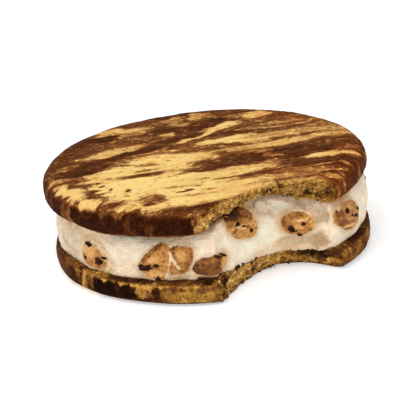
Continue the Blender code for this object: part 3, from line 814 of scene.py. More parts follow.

# Broken faces, unrolled: distance along the bite and height, both in millimetres. The value is the crumb's tone,
# from scorched to golden, with painted shade in places on the lower cookie.
BITE_WAY = {"pull": 0.0, "drift": (0.9, 0.5), "shiver": (0.5, 0.35), "fray": (0.25, 0.2),
            "stretch": 1.0}
TOP_BITE = Marbling(0.16, streaks((
    (0.5, 20.0, 4.5, 0.5, 0, -0.35), (2, 23.6, 2.4, 0.5, -35, -0.15), (-2, 22, 3, 1.5, 0, 0.4),
    (6, 23, 3, 1.2, -30, 0.45), (10, 24.4, 3, 0.8, -20, 0.1), (9, 22, 2.4, 0.7, 0, 0.0),
    (14, 22.6, 3, 1, 0, 0.3), (18.5, 23.8, 2, 0.8, -30, -0.4), (17.5, 21.6, 3, 0.5, 0, -0.35),
    (22.5, 24.0, 1.6, 0.8, -30, -0.7), (21, 22.4, 2, 0.8, 0, 0.1), (26, 21.0, 2, 1.1, -20, 0.5),
    (28.6, 21.2, 1.3, 0.8, 0, -0.9), (26.5, 24, 2, 1, -30, 0.2), (31.4, 20.6, 0.8, 1.2, 0, -0.6),
    (30.2, 19.4, 1.3, 0.8, 0, -0.05), (32.5, 22, 1.5, 2.5, 0, -0.45), (24.5, 20.2, 1.2, 0.6, 0, -0.3))),
    **BITE_WAY)
# Along the upper edge, under the ice cream, the crumb is dark crust with painted shade from the ice cream above; the
# left corner, which faces the light, is painted a little darker.
BASE_BITE = Marbling(0.16, streaks((
    (16, 0.2, 22, 0.6, 0, -0.75), (5.5, 3.4, 2.2, 1.6, 0, 0.5), (10.5, 3.8, 2.8, 1.5, 0, 0.55),
    (18.5, 3.3, 3, 1.8, 0, 0.55), (22.5, 3.4, 1.8, 1.6, 0, 0.45), (29, 2.8, 1.5, 1.4, 0, 0.2),
    (17, 6.0, 12, 0.75, 0, -1.0), (28.5, 5.0, 3.5, 1.6, 0, -0.9), (2.8, 4.4, 1.5, 1.6, 20, -1.0), (1.2, 2.4, 1.4, 1.8, 0, -0.6),
    (13.6, 2.8, 1.2, 0.8, -40, -0.85), (20, 6.1, 2, 0.8, 0, -1.3), (14.2, 6.0, 1.2, 0.7, 0, -1.3),
    (28.4, 5.9, 2.4, 1.3, 0, -1.25), (31.3, 4.2, 1.3, 2.6, 0, -1.1), (25.6, 4.6, 1.0, 1.6, 0, -0.45),
    (34, 5.2, 1.8, 2.4, 0, -0.9), (30.6, 4.4, 3.2, 1.8, 0, -1.0), (-1.0, 3, 1.8, 3.5, 0, -0.2))),
    **BITE_WAY)

# Painted light and shade on the ice cream at the bite, in the same unrolled terms: painted shade in the hollows and
# under the upper cookie's lip, painted highlights on the swellings.
CREAM_WAY = {"pull": 0.0, "drift": (1.3, 0.8), "shiver": (0.7, 0.5), "fray": (0.2, 0.2),
             "stretch": 1.0, "softness": 1.8}
CREAM_BITE_LIGHT_AND_SHADE = Marbling(0.15, streaks((
    (11, 11.5, 11, 4.6, -12, 0.95), (7, 8, 6, 2.4, 0, 0.9), (21.3, 17.4, 5.4, 1.7, -16, 0.9),
    (18.6, 13.6, 2.0, 2.2, 0, 1.1), (2, 12, 6, 5, 0, 0.5), (15.5, 15.0, 3.4, 1.6, -20, 0.55), (3, 16, 4, 1.6, -10, 0.35),
    (18.5, 20.4, 13, 1.9, -3, -0.95), (29, 18.4, 5, 2.0, -18, -0.75), (30.6, 15.6, 2.4, 3.6, 0, -0.5), (29.6, 11.2, 3.6, 1.8, 15, 0.45),
    (28.6, 8.2, 3.4, 1.8, 0, -0.5), (23, 8.0, 3.0, 1.6, 0, -0.3), (30.3, 8.8, 1.5, 2.4, 0, -0.95),
    (-1, 18.9, 3, 0.9, 0, -0.3), (33.5, 16, 1.2, 4, 0, 0.6))), **CREAM_WAY)
# Painted light and shade on the ice cream's side, unrolled like the walls: painted shade at the left end, painted light
# along the front and just under the upper cookie.
CREAM_SIDE_LIGHT_AND_SHADE = Marbling(0.2, streaks((
    (-176, 12, 10, 9, 0, -0.15), (176, 12, 9, 9, 0, -0.1), (-152, 12, 8, 6, 0, -0.2),
    (-127, 12, 7, 4, 0, 0.3), (-133, 15, 5, 2, 0, 0.5), (-112, 13, 6, 5, 0, 0.5), (-97, 14, 6, 3, 0, 0.5), (-122, 17, 26, 2.2, 0, 0.7), (-104, 17.2, 14, 2.2, 0, 0.6), (-40, 12, 7, 8, 0, 0.4),
    (-26, 13, 9, 6, 0, 0.45), (-8, 12, 7, 5, 0, 0.4), (20, 12, 8, 6, 0, -0.1), (60, 11, 9, 4, 0, 0.4), (105, 13, 7, 4, 0, -0.1),
    (148, 11, 8, 4, 0, 0.3))), **(WALL_WAY | {"softness": 1.8}))
CREAM_STAIN = Marbling(0.0, streaks((
    (19.9, 15.7, 1.3, 1.4, 0, 0.5), (30.3, 8.4, 1.2, 1.9, 0, 0.5), (16.5, 7.6, 4.4, 1.1, 0, 0.35),
    (22.5, 7.8, 2.6, 1.2, 0, 0.25), (19.5, 17.8, 3.4, 0.7, -8, 0.25), (10.6, 8.6, 1.8, 2.2, 0, 0.2),
    (27, 17.0, 4, 1.0, -12, 0.2))), **CREAM_WAY)


class Layer(Enum):
    """Which cookie of the two."""

    TOP = "top_cookie"
    BASE = "base_cookie"


@dataclass
class Cookie:
    """A marbled cookie: baked faces, rough rim, and a crumbly broken face at the bite."""

    layer: Layer
    finish: BakedFinish
    wall: Marbling
    bite: Marbling
    voxel: float = 0.385 * MM
    crumb_height: float = 0.75 * MM
    crust_height: float = 0.20 * MM
    frayed: float = 3.6
    arches: tuple[tuple[float, float, float, float], ...] = ()
    piece: bpy.types.Object | None = None

    def build(self, zone: BiteZone) -> bpy.types.Object:
        """Model, paint and dress the cookie.

        Args:
            zone: Where the bite is.

        Returns:
            The finished piece.
        """
        low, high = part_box(self.layer.value)
        centre = (low + high) / 2
        piece = merged_copy(self.layer.value, self.layer.value + "_baked")
        apply(piece, "REMESH", mode="VOXEL", voxel_size=self.voxel)
        apply(piece, "SMOOTH", factor=0.5, iterations=12)
        self._settle(piece)
        points, normals = points_of(piece), normals_of(piece)
        bitten = zone.facing(points, normals, centre)
        lying = ease(points[:, 2], 0.9 * MM, 0.3 * MM) if self.layer is Layer.BASE else 0.0 * bitten
        self._raise_crumb(piece, weigh(piece, "crumb_zone", bitten * (1.0 - lying)))
        self._raise_crust(piece, weigh(piece, "crust_zone", (1.0 - bitten) * (1.0 - lying)))
        depth = ((points_of(piece) - points) * normals).sum(axis=1)
        self._paint(piece, points, normals, centre, low.z)
        paint(piece, "crumb", np.maximum(bitten, self._lip(points, normals, bitten)))
        paint(piece, "tone", self.bite.paint(zone.unrolled(points), 5.0))
        # Painted shade: the deeper the crumb relief has pushed a point in, the darker it is painted.
        paint(piece, "pore_shade", ease(depth, -0.15 * self.crumb_height, -0.9 * self.crumb_height) * bitten)
        smooth_shade(piece)
        dress(piece, self.finish.make(), "cookie", self.layer.value)
        self.piece = piece
        return piece

    def _lip(self, points: Array, normals: Array, bitten: Array) -> Array:
        """How far the crumb frays onto the baked face beside the bite, by each point."""
        torn = np.flatnonzero(bitten > 0.5)
        tree = KDTree(len(torn))
        for index in torn:
            tree.insert(points[index], index)
        tree.balance()
        lip = np.zeros(len(points))
        for index in np.flatnonzero((normals[:, 2] > -0.6) & (points[:, 1] < -14 * MM) & (bitten <= 0.5)):
            lip[index] = tree.find(points[index])[2] / MM
        return 0.56 * ease(lip, self.frayed, 0.0) * (lip > 0)

    def _settle(self, piece: bpy.types.Object) -> None:
        """Lift the underside where the cookie arches over the ice cream."""
        points = points_of(piece)
        middle = 0.5 * (points[:, 2].min() + points[:, 2].max())
        lower = ease(points[:, 2], middle, middle - 2.0 * MM)
        for x, y, reach, rise in self.arches:
            away = np.hypot(points[:, 0] / MM - x, points[:, 1] / MM - y)
            points[:, 2] += lower * ease(away, reach, 0.0) * rise * MM
        piece.data.vertices.foreach_set("co", points.ravel())
        piece.data.update()

    def _raise_crumb(self, piece: bpy.types.Object, group: str) -> None:
        """Break the bitten face into lumps, grains and pores."""
        height = self.crumb_height
        emboss(piece, relief_texture("CLOUDS", 2.4 * MM, noise_depth=2), 1.3 * height, group, 0.62)
        emboss(piece, relief_texture("VORONOI", 1.3 * MM), height, group, 0.50)
        emboss(piece, relief_texture("CLOUDS", 0.7 * MM, noise_depth=3), 0.9 * height, group, 0.56)

    def _raise_crust(self, piece: bpy.types.Object, group: str) -> None:
        """Give the baked faces their shallow unevenness."""
        emboss(piece, relief_texture("CLOUDS", 5.0 * MM, noise_depth=2), 1.8 * self.crust_height, group)
        emboss(piece, relief_texture("CLOUDS", 1.1 * MM, noise_depth=3), self.crust_height, group)

    def _paint(self, piece: bpy.types.Object, points: Array, normals: Array, centre: Vector,
               floor: float) -> None:
        """Paint the marbling of the faces and of the wall."""
        plan = (points[:, :2] - np.array(centre[:2])) / MM
        underside = ease(normals[:, 2], 0.1, -0.6)
        face = (CRUST if self.layer is Layer.TOP else BASE_RIM).paint(plan, 1.0)
        below = CRUST.paint((plan * [1.0, -1.0]) @ self._turn(65), 4.0)
        face += (below - face) * underside
        steep = ease(np.abs(normals[:, 2]), 0.86, 0.42)
        unrolled = np.column_stack([np.degrees(np.arctan2(plan[:, 1], plan[:, 0])),
                                    (points[:, 2] - floor) / MM])
        side = self.wall.paint(unrolled, 2.0 if self.layer is Layer.TOP else 3.0)
        paint(piece, "butter", face + (side - face) * steep)
        paint(piece, "wall", steep)
        paint(piece, "ruddy", RUDDY.paint(plan, 6.0))

    @staticmethod
    def _turn(degrees: float) -> Array:
        """A plan rotation."""
        cos, sin = math.cos(math.radians(degrees)), math.sin(math.radians(degrees))
        return np.array([[cos, sin], [-sin, cos]])


# ---------------------------------------------------------------- dough lumps and chips


@dataclass(frozen=True)
class Chip:
    """A piece of chocolate in a lump's face: place, half sizes in millimetres, turn in degrees."""

    along: float
    up: float
    length: float
    width: float
    turn: float = 0.0


@dataclass(frozen=True)
class LumpPlan:
    """What one lump of dough shows.

    The outline's corners, the chips, the tones and the films of ice cream across it are in
    millimetres from the lump's middle, along the face and upwards.
    """

    node: str
    corners: tuple[tuple[float, float], ...]
    chips: tuple[Chip, ...]
    tones: tuple[Streak, ...] = ()
    films: tuple[tuple[float, float, float, float], ...] = ()
    veil: float = 0.9


LUMP_PLANS = (
    LumpPlan("dough_left",
             ((-4.2, 3.8), (-0.5, 4.3), (2.8, 4.0), (5.2, 1.6), (6.4, -1.4), (5.4, -3.9),
              (-0.4, -4.3), (-3.6, -2.8), (-4.6, 0.5)),
             (Chip(-0.75, 2.95, 1.2, 0.5, -8), Chip(-2.1, -0.6, 0.75, 0.42, 85),
              Chip(2.8, -0.8, 1.15, 0.85, 10), Chip(4.2, 0.2, 0.75, 0.4, -20)),
             streaks(((0.5, 0, 9, 8, 0, -0.10), (-1.5, 1.4, 3.4, 2, 0, 0.3), (1, -2.6, 3.4, 1.2, 0, -0.2), (3.6, 2.4, 2, 1, -40, 0.0))),
             veil=1.6),
    LumpPlan("dough_front",
             ((-4.0, -2.5), (-2.7, -0.2), (-1.4, 1.9), (1.0, 3.7), (4.2, 5.2), (5.8, 3.8), (6.5, 0.8),
              (5.6, -2.2), (3.9, -4.6), (1.8, -5.2), (-1.2, -4.2)),
             (Chip(-1.2, -1.5, 1.8, 0.85, 8), Chip(1.2, -1.05, 1.3, 0.42, 4), Chip(1.5, -4.6, 0.75, 0.5, 0)),
             streaks(((0, 0, 9, 8, 0, -0.12), (0.2, 2.3, 3.0, 0.8, 38, -0.52), (2.6, 3.9, 1.8, 0.6, 30, -0.6),
                      (1.0, 0.4, 1.7, 1.0, 0, 0.35), (0.0, -3.2, 3.0, 1.0, -8, 0.2), (4.2, 1.0, 1.0, 3, 0, -0.1))),
             ((4.9, 4.9, 6.4, 1.5), (6.4, 1.2, 3.6, -4.6)), veil=0.4),
    LumpPlan("dough_front_split",
             ((-4.4, 4.9), (-1.0, 4.7), (3.2, 4.3), (3.4, 1.6), (2.7, -1.0), (1.6, -3.0), (-1.2, -3.8),
              (-4.9, -3.6), (-4.2, -0.4)),
             (),
             streaks(((0, 0, 9, 8, 0, -0.22), (-2.2, 3.2, 1.2, 1.0, 0, -0.5), (2.2, 1.2, 0.7, 2.2, -8, -0.45), (-0.3, 1.9, 0.9, 1.6, 0, 0.15),
                      (0.9, -0.6, 0.6, 1.4, 0, -0.4), (-1.9, -2.6, 1.0, 0.8, 0, 0.1), (-0.6, -2.9, 1.4, 0.5, 0, -0.4))),
             ((-3.1, 2.5, -2.7, 1.5), (-2.7, 1.5, -0.9, -1.6), (-2.7, 1.5, -4.8, -3.4)), veil=0.8),
    LumpPlan("dough_oval",
             ((-5.2, 0.4), (-4.3, 2.1), (-1.8, 3.1), (1.2, 3.4), (3.7, 2.7), (4.6, 0.8), (4.1, -1.0),
              (1.6, -2.1), (-1.8, -2.0), (-4.5, -1.1)),
             (Chip(1.5, 2.8, 1.3, 0.35, -12), Chip(3.0, 2.25, 1.1, 0.35, -24)),
             streaks(((0, 0, 10, 8, 0, -0.4), (-1.4, 0.4, 4.4, 3.0, 0, -0.72), (-4.4, 0.6, 1.0, 1.0, 0, -0.95), (-0.6, 2.0, 2.6, 0.6, 5, -0.4),
                      (2.0, -0.9, 2.4, 0.8, 5, -0.6), (3.6, 0.4, 1.5, 1.8, 0, 0.3))), veil=0.35),
    LumpPlan("dough_right",
             ((-7.6, 1.6), (-5.8, 4.2), (-0.8, 5.0), (3.0, 4.0), (5.2, 1.4), (4.6, -2.2), (2.4, -4.0), (-3.0, -2.6)),
             (Chip(-1.9, 2.3, 0.8, 0.75), Chip(1.6, 0.2, 1.1, 0.45, -14), Chip(3.5, 1.2, 0.7, 0.5),
              Chip(-0.4, 0.9, 0.45, 0.3)),
             streaks(((0, 0, 9, 8, 0, -0.12), (0, 3.8, 4, 1.6, 0, 0.12), (-4.0, 0.4, 2.4, 1.0, -28, -0.55), (0.6, -0.9, 4.4, 0.6, -6, -0.45),
                      (0.4, -1.9, 4.0, 0.5, -6, 0.5), (-1.6, -2.8, 2.6, 0.4, -10, -0.5), (2.2, 2.4, 1.4, 1.0, 0, -0.3),
                      (2.4, -3.0, 2.0, 0.9, 0, 0.15), (-4.6, 1.2, 1.2, 2.4, 0, -0.6))), veil=0.4),
    # Its dark upper left corner, just under the upper cookie, is chocolate with painted shade from the cookie above.
    LumpPlan("dough_bite_left",
             ((-6.8, 4.9), (-3.0, 5.4), (0.6, 5.2), (2.8, 2.9), (4.3, 0.0), (4.6, -2.8), (2.4, -3.9),
              (-1.6, -3.6), (-4.6, -1.7), (-6.4, 1.0)),
             (Chip(-2.4, 1.1, 0.9, 0.5, 20), Chip(1.7, -1.6, 0.5, 0.4), Chip(-4.3, 3.9, 1.3, 0.8, -30),
              Chip(-0.6, 0.2, 0.8, 0.25, -15)),
             streaks(((0, -1, 9, 4, 0, 0.1), (-2.6, 4.4, 4.2, 2.2, -12, -1.0), (1.0, 3.0, 2.6, 1.6, -40, -0.5), (-0.6, 1.6, 2.4, 0.8, -20, -0.35),
                      (-5.0, 1.8, 1.2, 0.9, 0, -0.3), (2.8, -1.8, 1.6, 2.0, 20, 0.1),
                      (-1.6, 0.4, 1.6, 0.5, -10, 0.7), (0.8, -0.5, 1.4, 0.3, -30, -0.7), (-3.4, -0.4, 1.2, 0.3, 30, -0.5),
                      (-1.2, -2.2, 2.4, 0.3, 5, -0.35), (3.6, 0.6, 0.5, 1.8, 20, 0.45))), veil=0.4),
    LumpPlan("dough_bite_right",
             ((-5.0, -0.9), (-4.3, 2.0), (-1.4, 3.5), (2.4, 3.1), (4.7, 0.8), (4.0, -1.7), (1.0, -3.3), (-2.8, -3.0)),
             (Chip(-1.6, -1.0, 1.0, 0.85, -20), Chip(1.1, 0.4, 0.55, 0.42, -10), Chip(0.2, -2.7, 0.7, 0.4)),
             streaks(((0, 0, 9, 8, 0, -0.10), (-2.6, -0.4, 1.0, 1.6, 0, -0.35), (-1.2, 2.2, 2.4, 0.6, 10, -0.3), (2.6, 0.2, 0.9, 1.8, 0, -0.3),
                      (0, -0.6, 1.6, 1.0, 0, 0.25), (3.4, 0.2, 1.2, 1.6, 0, 0.1),
                      (-3.6, 1.0, 0.5, 1.6, 20, -0.55), (0.6, 1.4, 2.0, 0.35, 8, 0.5), (1.8, -1.6, 1.8, 0.3, -10, -0.5))), veil=0.45),
    LumpPlan("dough_right_back",
             ((-5.0, -1.0), (-4.4, 2.0), (-1.0, 3.8), (3.4, 3.2), (5.4, 0.6), (3.8, -2.8), (0.2, -3.7), (-3.4, -3.0)),
             (Chip(-1.4, 1.0, 1.0, 0.6, 20), Chip(1.8, -1.2, 0.7, 0.5), Chip(2.8, 1.2, 0.5, 0.4)),
             streaks(((1.0, 1.6, 2.6, 0.8, 20, -0.4), (-2, -1, 1.6, 1, 0, 0.25)))),
    LumpPlan("dough_back_right",
             ((-4.2, 0.4), (-2.6, 2.9), (0.8, 3.3), (4.0, 1.8), (4.3, -1.0), (1.6, -3.0), (-2.2, -2.8)),
             (Chip(0.6, 0.8, 1.1, 0.6, -15), Chip(-1.8, -0.8, 0.6, 0.5), Chip(2.4, -0.8, 0.5, 0.35)),
             streaks(((-1.6, 1.2, 2.0, 1.0, 0, -0.5), (1.4, -1.4, 1.6, 0.8, 0, 0.2)))),
    LumpPlan("dough_back",
             ((-5.6, -0.4), (-3.8, 2.6), (0.2, 3.8), (4.2, 2.6), (5.6, -0.2), (3.4, -3.0), (-0.8, -3.7), (-4.4, -2.6)),
             (Chip(-2.2, 1.0, 1.3, 0.6, 25), Chip(1.0, -0.6, 0.9, 0.7), Chip(3.2, 1.0, 0.6, 0.4),
              Chip(-0.6, -2.2, 0.5, 0.4)),
             streaks(((2.0, 2.0, 2.4, 0.7, -20, -0.45), (-2.6, -1.2, 2.0, 1.0, 0, 0.25)))),
    LumpPlan("dough_back_left",
             ((-4.0, -2.2), (-4.4, 1.0), (-1.2, 3.4), (2.6, 3.9), (4.4, 1.6), (3.2, -2.0), (-0.6, -3.7)),
             (Chip(-0.8, -0.8, 1.2, 0.55, -30), Chip(1.6, 1.6, 0.7, 0.5)),
             streaks(((0.4, 2.4, 2.4, 0.9, 10, -0.7), (-1.4, -2.0, 1.8, 0.8, 0, 0.2)))),
    LumpPlan("dough_left_back",
             ((-4.8, 0.8), (-2.6, 3.0), (1.2, 3.2), (4.6, 1.0), (4.4, -2.2), (1.0, -3.6), (-3.2, -2.6)),
             (Chip(0.0, 1.2, 0.9, 0.7), Chip(-2.2, -0.6, 1.0, 0.45, 30), Chip(2.2, -1.0, 0.6, 0.45)),
             streaks(((-1.0, -2.0, 2.2, 0.7, -10, -0.4), (1.6, 0.4, 1.6, 1.0, 0, 0.3)))),
)


@dataclass
class DoughLump:
    """One uneven lump of dough, pressed into the ice cream."""

    plan: LumpPlan
    index: int
    voxel: float = 0.26 * MM
    lift: float = 0.75 * MM
    sink: float = 2.2 * MM
    middle: Vector | None = None
    outward: Vector | None = None
    along: Vector | None = None
    piece: bpy.types.Object | None = None

    def place(self) -> None:
        """Read where the lump is and which way it faces: outwards, or out of the bite."""
        low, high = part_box(self.plan.node)
        self.middle = (low + high) / 2
        facing = {"dough_bite_left": Vector((0.55, -0.83, 0.0)), "dough_bite_right": Vector((0.1, -1.0, 0.0))}
        outward = facing.get(self.plan.node, Vector((self.middle.x, self.middle.y, 0.0)))
        self.outward = outward.normalized()
        self.along = Vector((-self.outward.y, self.outward.x, 0.0))

    def on_face(self, points: Array) -> tuple[Array, Array, Array]:
        """Each point's place along the lump's face, upwards and outwards, in millimetres."""
        offset = (points - np.array(self.middle)) / MM
        return offset @ np.array(self.along), offset[:, 2], offset @ np.array(self.outward)

    def reach(self, angle: Array) -> Array:
        """Distance from the middle to the outline in each direction, its corners softened."""
        corners = np.array(self.plan.corners)
        ends = np.roll(corners, -1, axis=0)
        total = np.zeros_like(angle)
        spread = (-0.24, -0.12, 0.0, 0.12, 0.24)
        for turn in spread:
            way = np.column_stack([np.cos(angle + turn), np.sin(angle + turn)])
            best = np.full(len(angle), 1e9)
            for first, last in zip(corners, ends):
                edge = last - first
                cross = way[:, 0] * edge[1] - way[:, 1] * edge[0]
                cross = np.where(np.abs(cross) < 1e-9, 1e-9, cross)
                distance = (first[0] * edge[1] - first[1] * edge[0]) / cross
                share = (first[0] * way[:, 1] - first[1] * way[:, 0]) / cross
                good = (distance > 0) & (share >= -1e-6) & (share <= 1 + 1e-6)
                best = np.where(good & (distance < best), distance, best)
            total += np.where(best > 1e8, 3.0, best)
        return total / len(spread)

    def build(self, material: bpy.types.Material, cream: BVHTree) -> bpy.types.Object:
        """Model, paint and dress the lump.

        Args:
            material: The dough's finish.
            cream: The ice cream's surface, which the lump stands out of.

        Returns:
            The finished piece.
        """
        node = self.plan.node
        piece = merged_copy(node, node.replace("dough", "lump"))
        apply(piece, "REMESH", mode="VOXEL", voxel_size=self.voxel)
        apply(piece, "SMOOTH", factor=0.5, iterations=4)
        self._drape(piece, cream)
        emboss(piece, relief_texture("CLOUDS", 2.2 * MM, noise_depth=2), 0.55 * MM)
        emboss(piece, relief_texture("CLOUDS", 0.8 * MM, noise_depth=3), 0.36 * MM)
        self._paint(piece)
        smooth_shade(piece)
        dress(piece, material, "dough", node)
        self.piece = piece
        return piece

    def _drape(self, piece: bpy.types.Object, cream: BVHTree) -> None:
        """Give the lump its outline, and let its face follow the ice cream round it."""
        points = points_of(piece)
        across, upward, outward = self.on_face(points)
        angle = np.arctan2(upward, across)
        radius = np.hypot(across, upward)
        bins = ((angle + math.pi) / (2 * math.pi) * 48).astype(int) % 48
        rim = np.array([radius[bins == sector].max() for sector in range(48)])
        rim = (np.roll(rim, 1) + rim + np.roll(rim, -1)) / 3
        share = np.minimum(radius / rim[bins], 1.0)
        ragged = (1.0 + 0.13 * hum(points, 1.6 * MM, 3.0 + self.index)
                  + 0.07 * hum(points, 0.7 * MM, 9.0 + self.index))
        target = share * self.reach(angle) * ragged * MM
        crown = np.sqrt(np.clip(1.0 - share ** 2.4, 0, 1))
        split = (outward[share < 0.4].max() + outward[share < 0.4].min()) / 2
        moved = np.empty_like(points)
        for index in range(len(points)):
            spot = (self.middle + self.along * float(np.cos(angle[index]) * target[index])
                    + Vector((0, 0, float(np.sin(angle[index]) * target[index]))))
            hit = cream.ray_cast(spot + self.outward * 14 * MM, -self.outward)
            ground = hit[0] if hit[0] is not None else spot
            if outward[index] > split:
                depth = self.lift * crown[index] - 0.22 * MM
            else:
                depth = -self.sink * crown[index] - 0.22 * MM
            moved[index] = ground + self.outward * float(depth)
        piece.data.vertices.foreach_set("co", moved.ravel())
        piece.data.update()

    def _paint(self, piece: bpy.types.Object) -> None:
        """Paint the tones, the veiled edge and the films of ice cream across the face."""
        across, upward, _ = self.on_face(points_of(piece))
        tones = Marbling(0.0, self.plan.tones, **BITE_WAY)
        tone = tones.paint(np.column_stack([across, upward]), 20.0 + self.index)
        inset = self.reach(np.arctan2(upward, across)) - np.hypot(across, upward)
        smear = np.clip(1.0 - inset / (1.5 * self.plan.veil), 0, 1)
        for x0, y0, x1, y1 in self.plan.films:
            run = np.array([x1 - x0, y1 - y0])
            share = np.clip(((across - x0) * run[0] + (upward - y0) * run[1]) / (run @ run), 0, 1)
            gap = np.hypot(across - x0 - share * run[0], upward - y0 - share * run[1])
            smear = np.maximum(smear, 1.15 * ease(gap, 0.6, 0.05))
        paint(piece, "tone", tone)
        paint(piece, "smear", smear)

    def chip_places(self) -> list[tuple[Vector, Chip]]:
        """Where each chip, and each of the splinters round it, meets the lump's face."""
        tree = surface_of(self.piece)
        random = np.random.default_rng(50 + self.index)
        chips = list(self.plan.chips)
        for chip in self.plan.chips:
            for _ in range(3 if chip.width > 0.36 else 0):
                angle, scale = 6.28 * random.random(), 0.12 + 0.14 * random.random()
                run, rise = 1.12 * chip.length * math.cos(angle), 1.25 * chip.width * math.sin(angle)
                turn = math.radians(chip.turn)
                chips.append(Chip(chip.along + run * math.cos(turn) - rise * math.sin(turn),
                                  chip.up + run * math.sin(turn) + rise * math.cos(turn),
                                  scale * (0.4 + chip.width), 0.8 * scale * (0.4 + chip.width), 60 * angle))
        places = []
        for chip in chips:
            start = self.middle + self.outward * 12 * MM + self.along * chip.along * MM
            start.z += chip.up * MM
            hit = tree.ray_cast(start, -self.outward)
            if hit[0] is not None:
                places.append((hit[0], chip))
        return places


def surface_of(piece: bpy.types.Object) -> BVHTree:
    """A piece's surface, for finding points on it."""
    return BVHTree.FromPolygons([v.co for v in piece.data.vertices],
                                [p.vertices for p in piece.data.polygons])


@dataclass
class Chips:
    """All chocolate chips, one mesh: an angular nugget, copied and turned for each."""

    finish: GrainFinish
    sink: float = 0.12

    def build(self, lumps: list[DoughLump]) -> bpy.types.Object:
        """Model one nugget, copy it to every chip's place and join the copies.

        Args:
            lumps: The finished lumps.

        Returns:
            The finished piece.
        """
        nugget = self._nugget()
        copies = []
        for lump in lumps:
            for place, chip in lump.chip_places():
                copies.append(self._copy(nugget, lump, place, chip, len(copies)))
        select_only(nugget)
        bpy.ops.object.delete()
        select_only(*copies)
        bpy.ops.object.join()
        piece = bpy.context.view_layer.objects.active
        piece.name = "chocolate_chips"
        select_only(piece)
        bpy.ops.object.shade_smooth_by_angle(angle=math.radians(35))
        dress(piece, self.finish.make(), "dough")
        return piece

    @staticmethod
    def _nugget() -> bpy.types.Object:
        """A rough angular ball of one unit, bevelled and uneven."""
        bpy.ops.object.select_all(action="DESELECT")
        bpy.ops.mesh.primitive_ico_sphere_add(subdivisions=2, radius=1.0, location=(0, 0, 0))
        nugget = bpy.context.view_layer.objects.active
        bpy.ops.object.mode_set(mode="EDIT")
        bpy.ops.mesh.select_all(action="SELECT")
        bpy.ops.transform.vertex_random(offset=0.36, uniform=0.0, normal=1.0, seed=5)
        bpy.ops.mesh.subdivide(number_cuts=1, smoothness=0.3)
        bpy.ops.transform.vertex_random(offset=0.10, uniform=0.0, normal=1.0, seed=9)
        bpy.ops.object.mode_set(mode="OBJECT")
        return nugget

    def _copy(self, nugget: bpy.types.Object, lump: DoughLump, place: Vector, chip: Chip,
              index: int) -> bpy.types.Object:
        """Place one nugget, squashed to the chip's sizes, in a lump's face."""
        piece = nugget.copy()
        piece.data = nugget.data.copy()
        bpy.context.scene.collection.objects.link(piece)
        axes = Matrix((lump.along, Vector((0, 0, 1)), -lump.outward)).transposed()
        turn = Matrix.Rotation(math.radians(chip.turn), 3, "Z") @ Matrix.Diagonal(
            Vector((chip.length, chip.width, 0.7 * chip.width))) * MM
        spin = Matrix.Rotation(2.4 * index, 3, Vector((0.4, 1.0, 0.2)))
        local = (axes @ turn @ spin).to_4x4()
        local.translation = place - lump.outward * self.sink * chip.width * MM
        piece.data.transform(local)
        return piece


# ---------------------------------------------------------------- the filling


@dataclass(frozen=True)
class Dent:
    """A hollow (or, below zero, a swelling) in the ice cream, in millimetres."""

    x: float
    y: float
    z: float
    reach: float
    depth: float


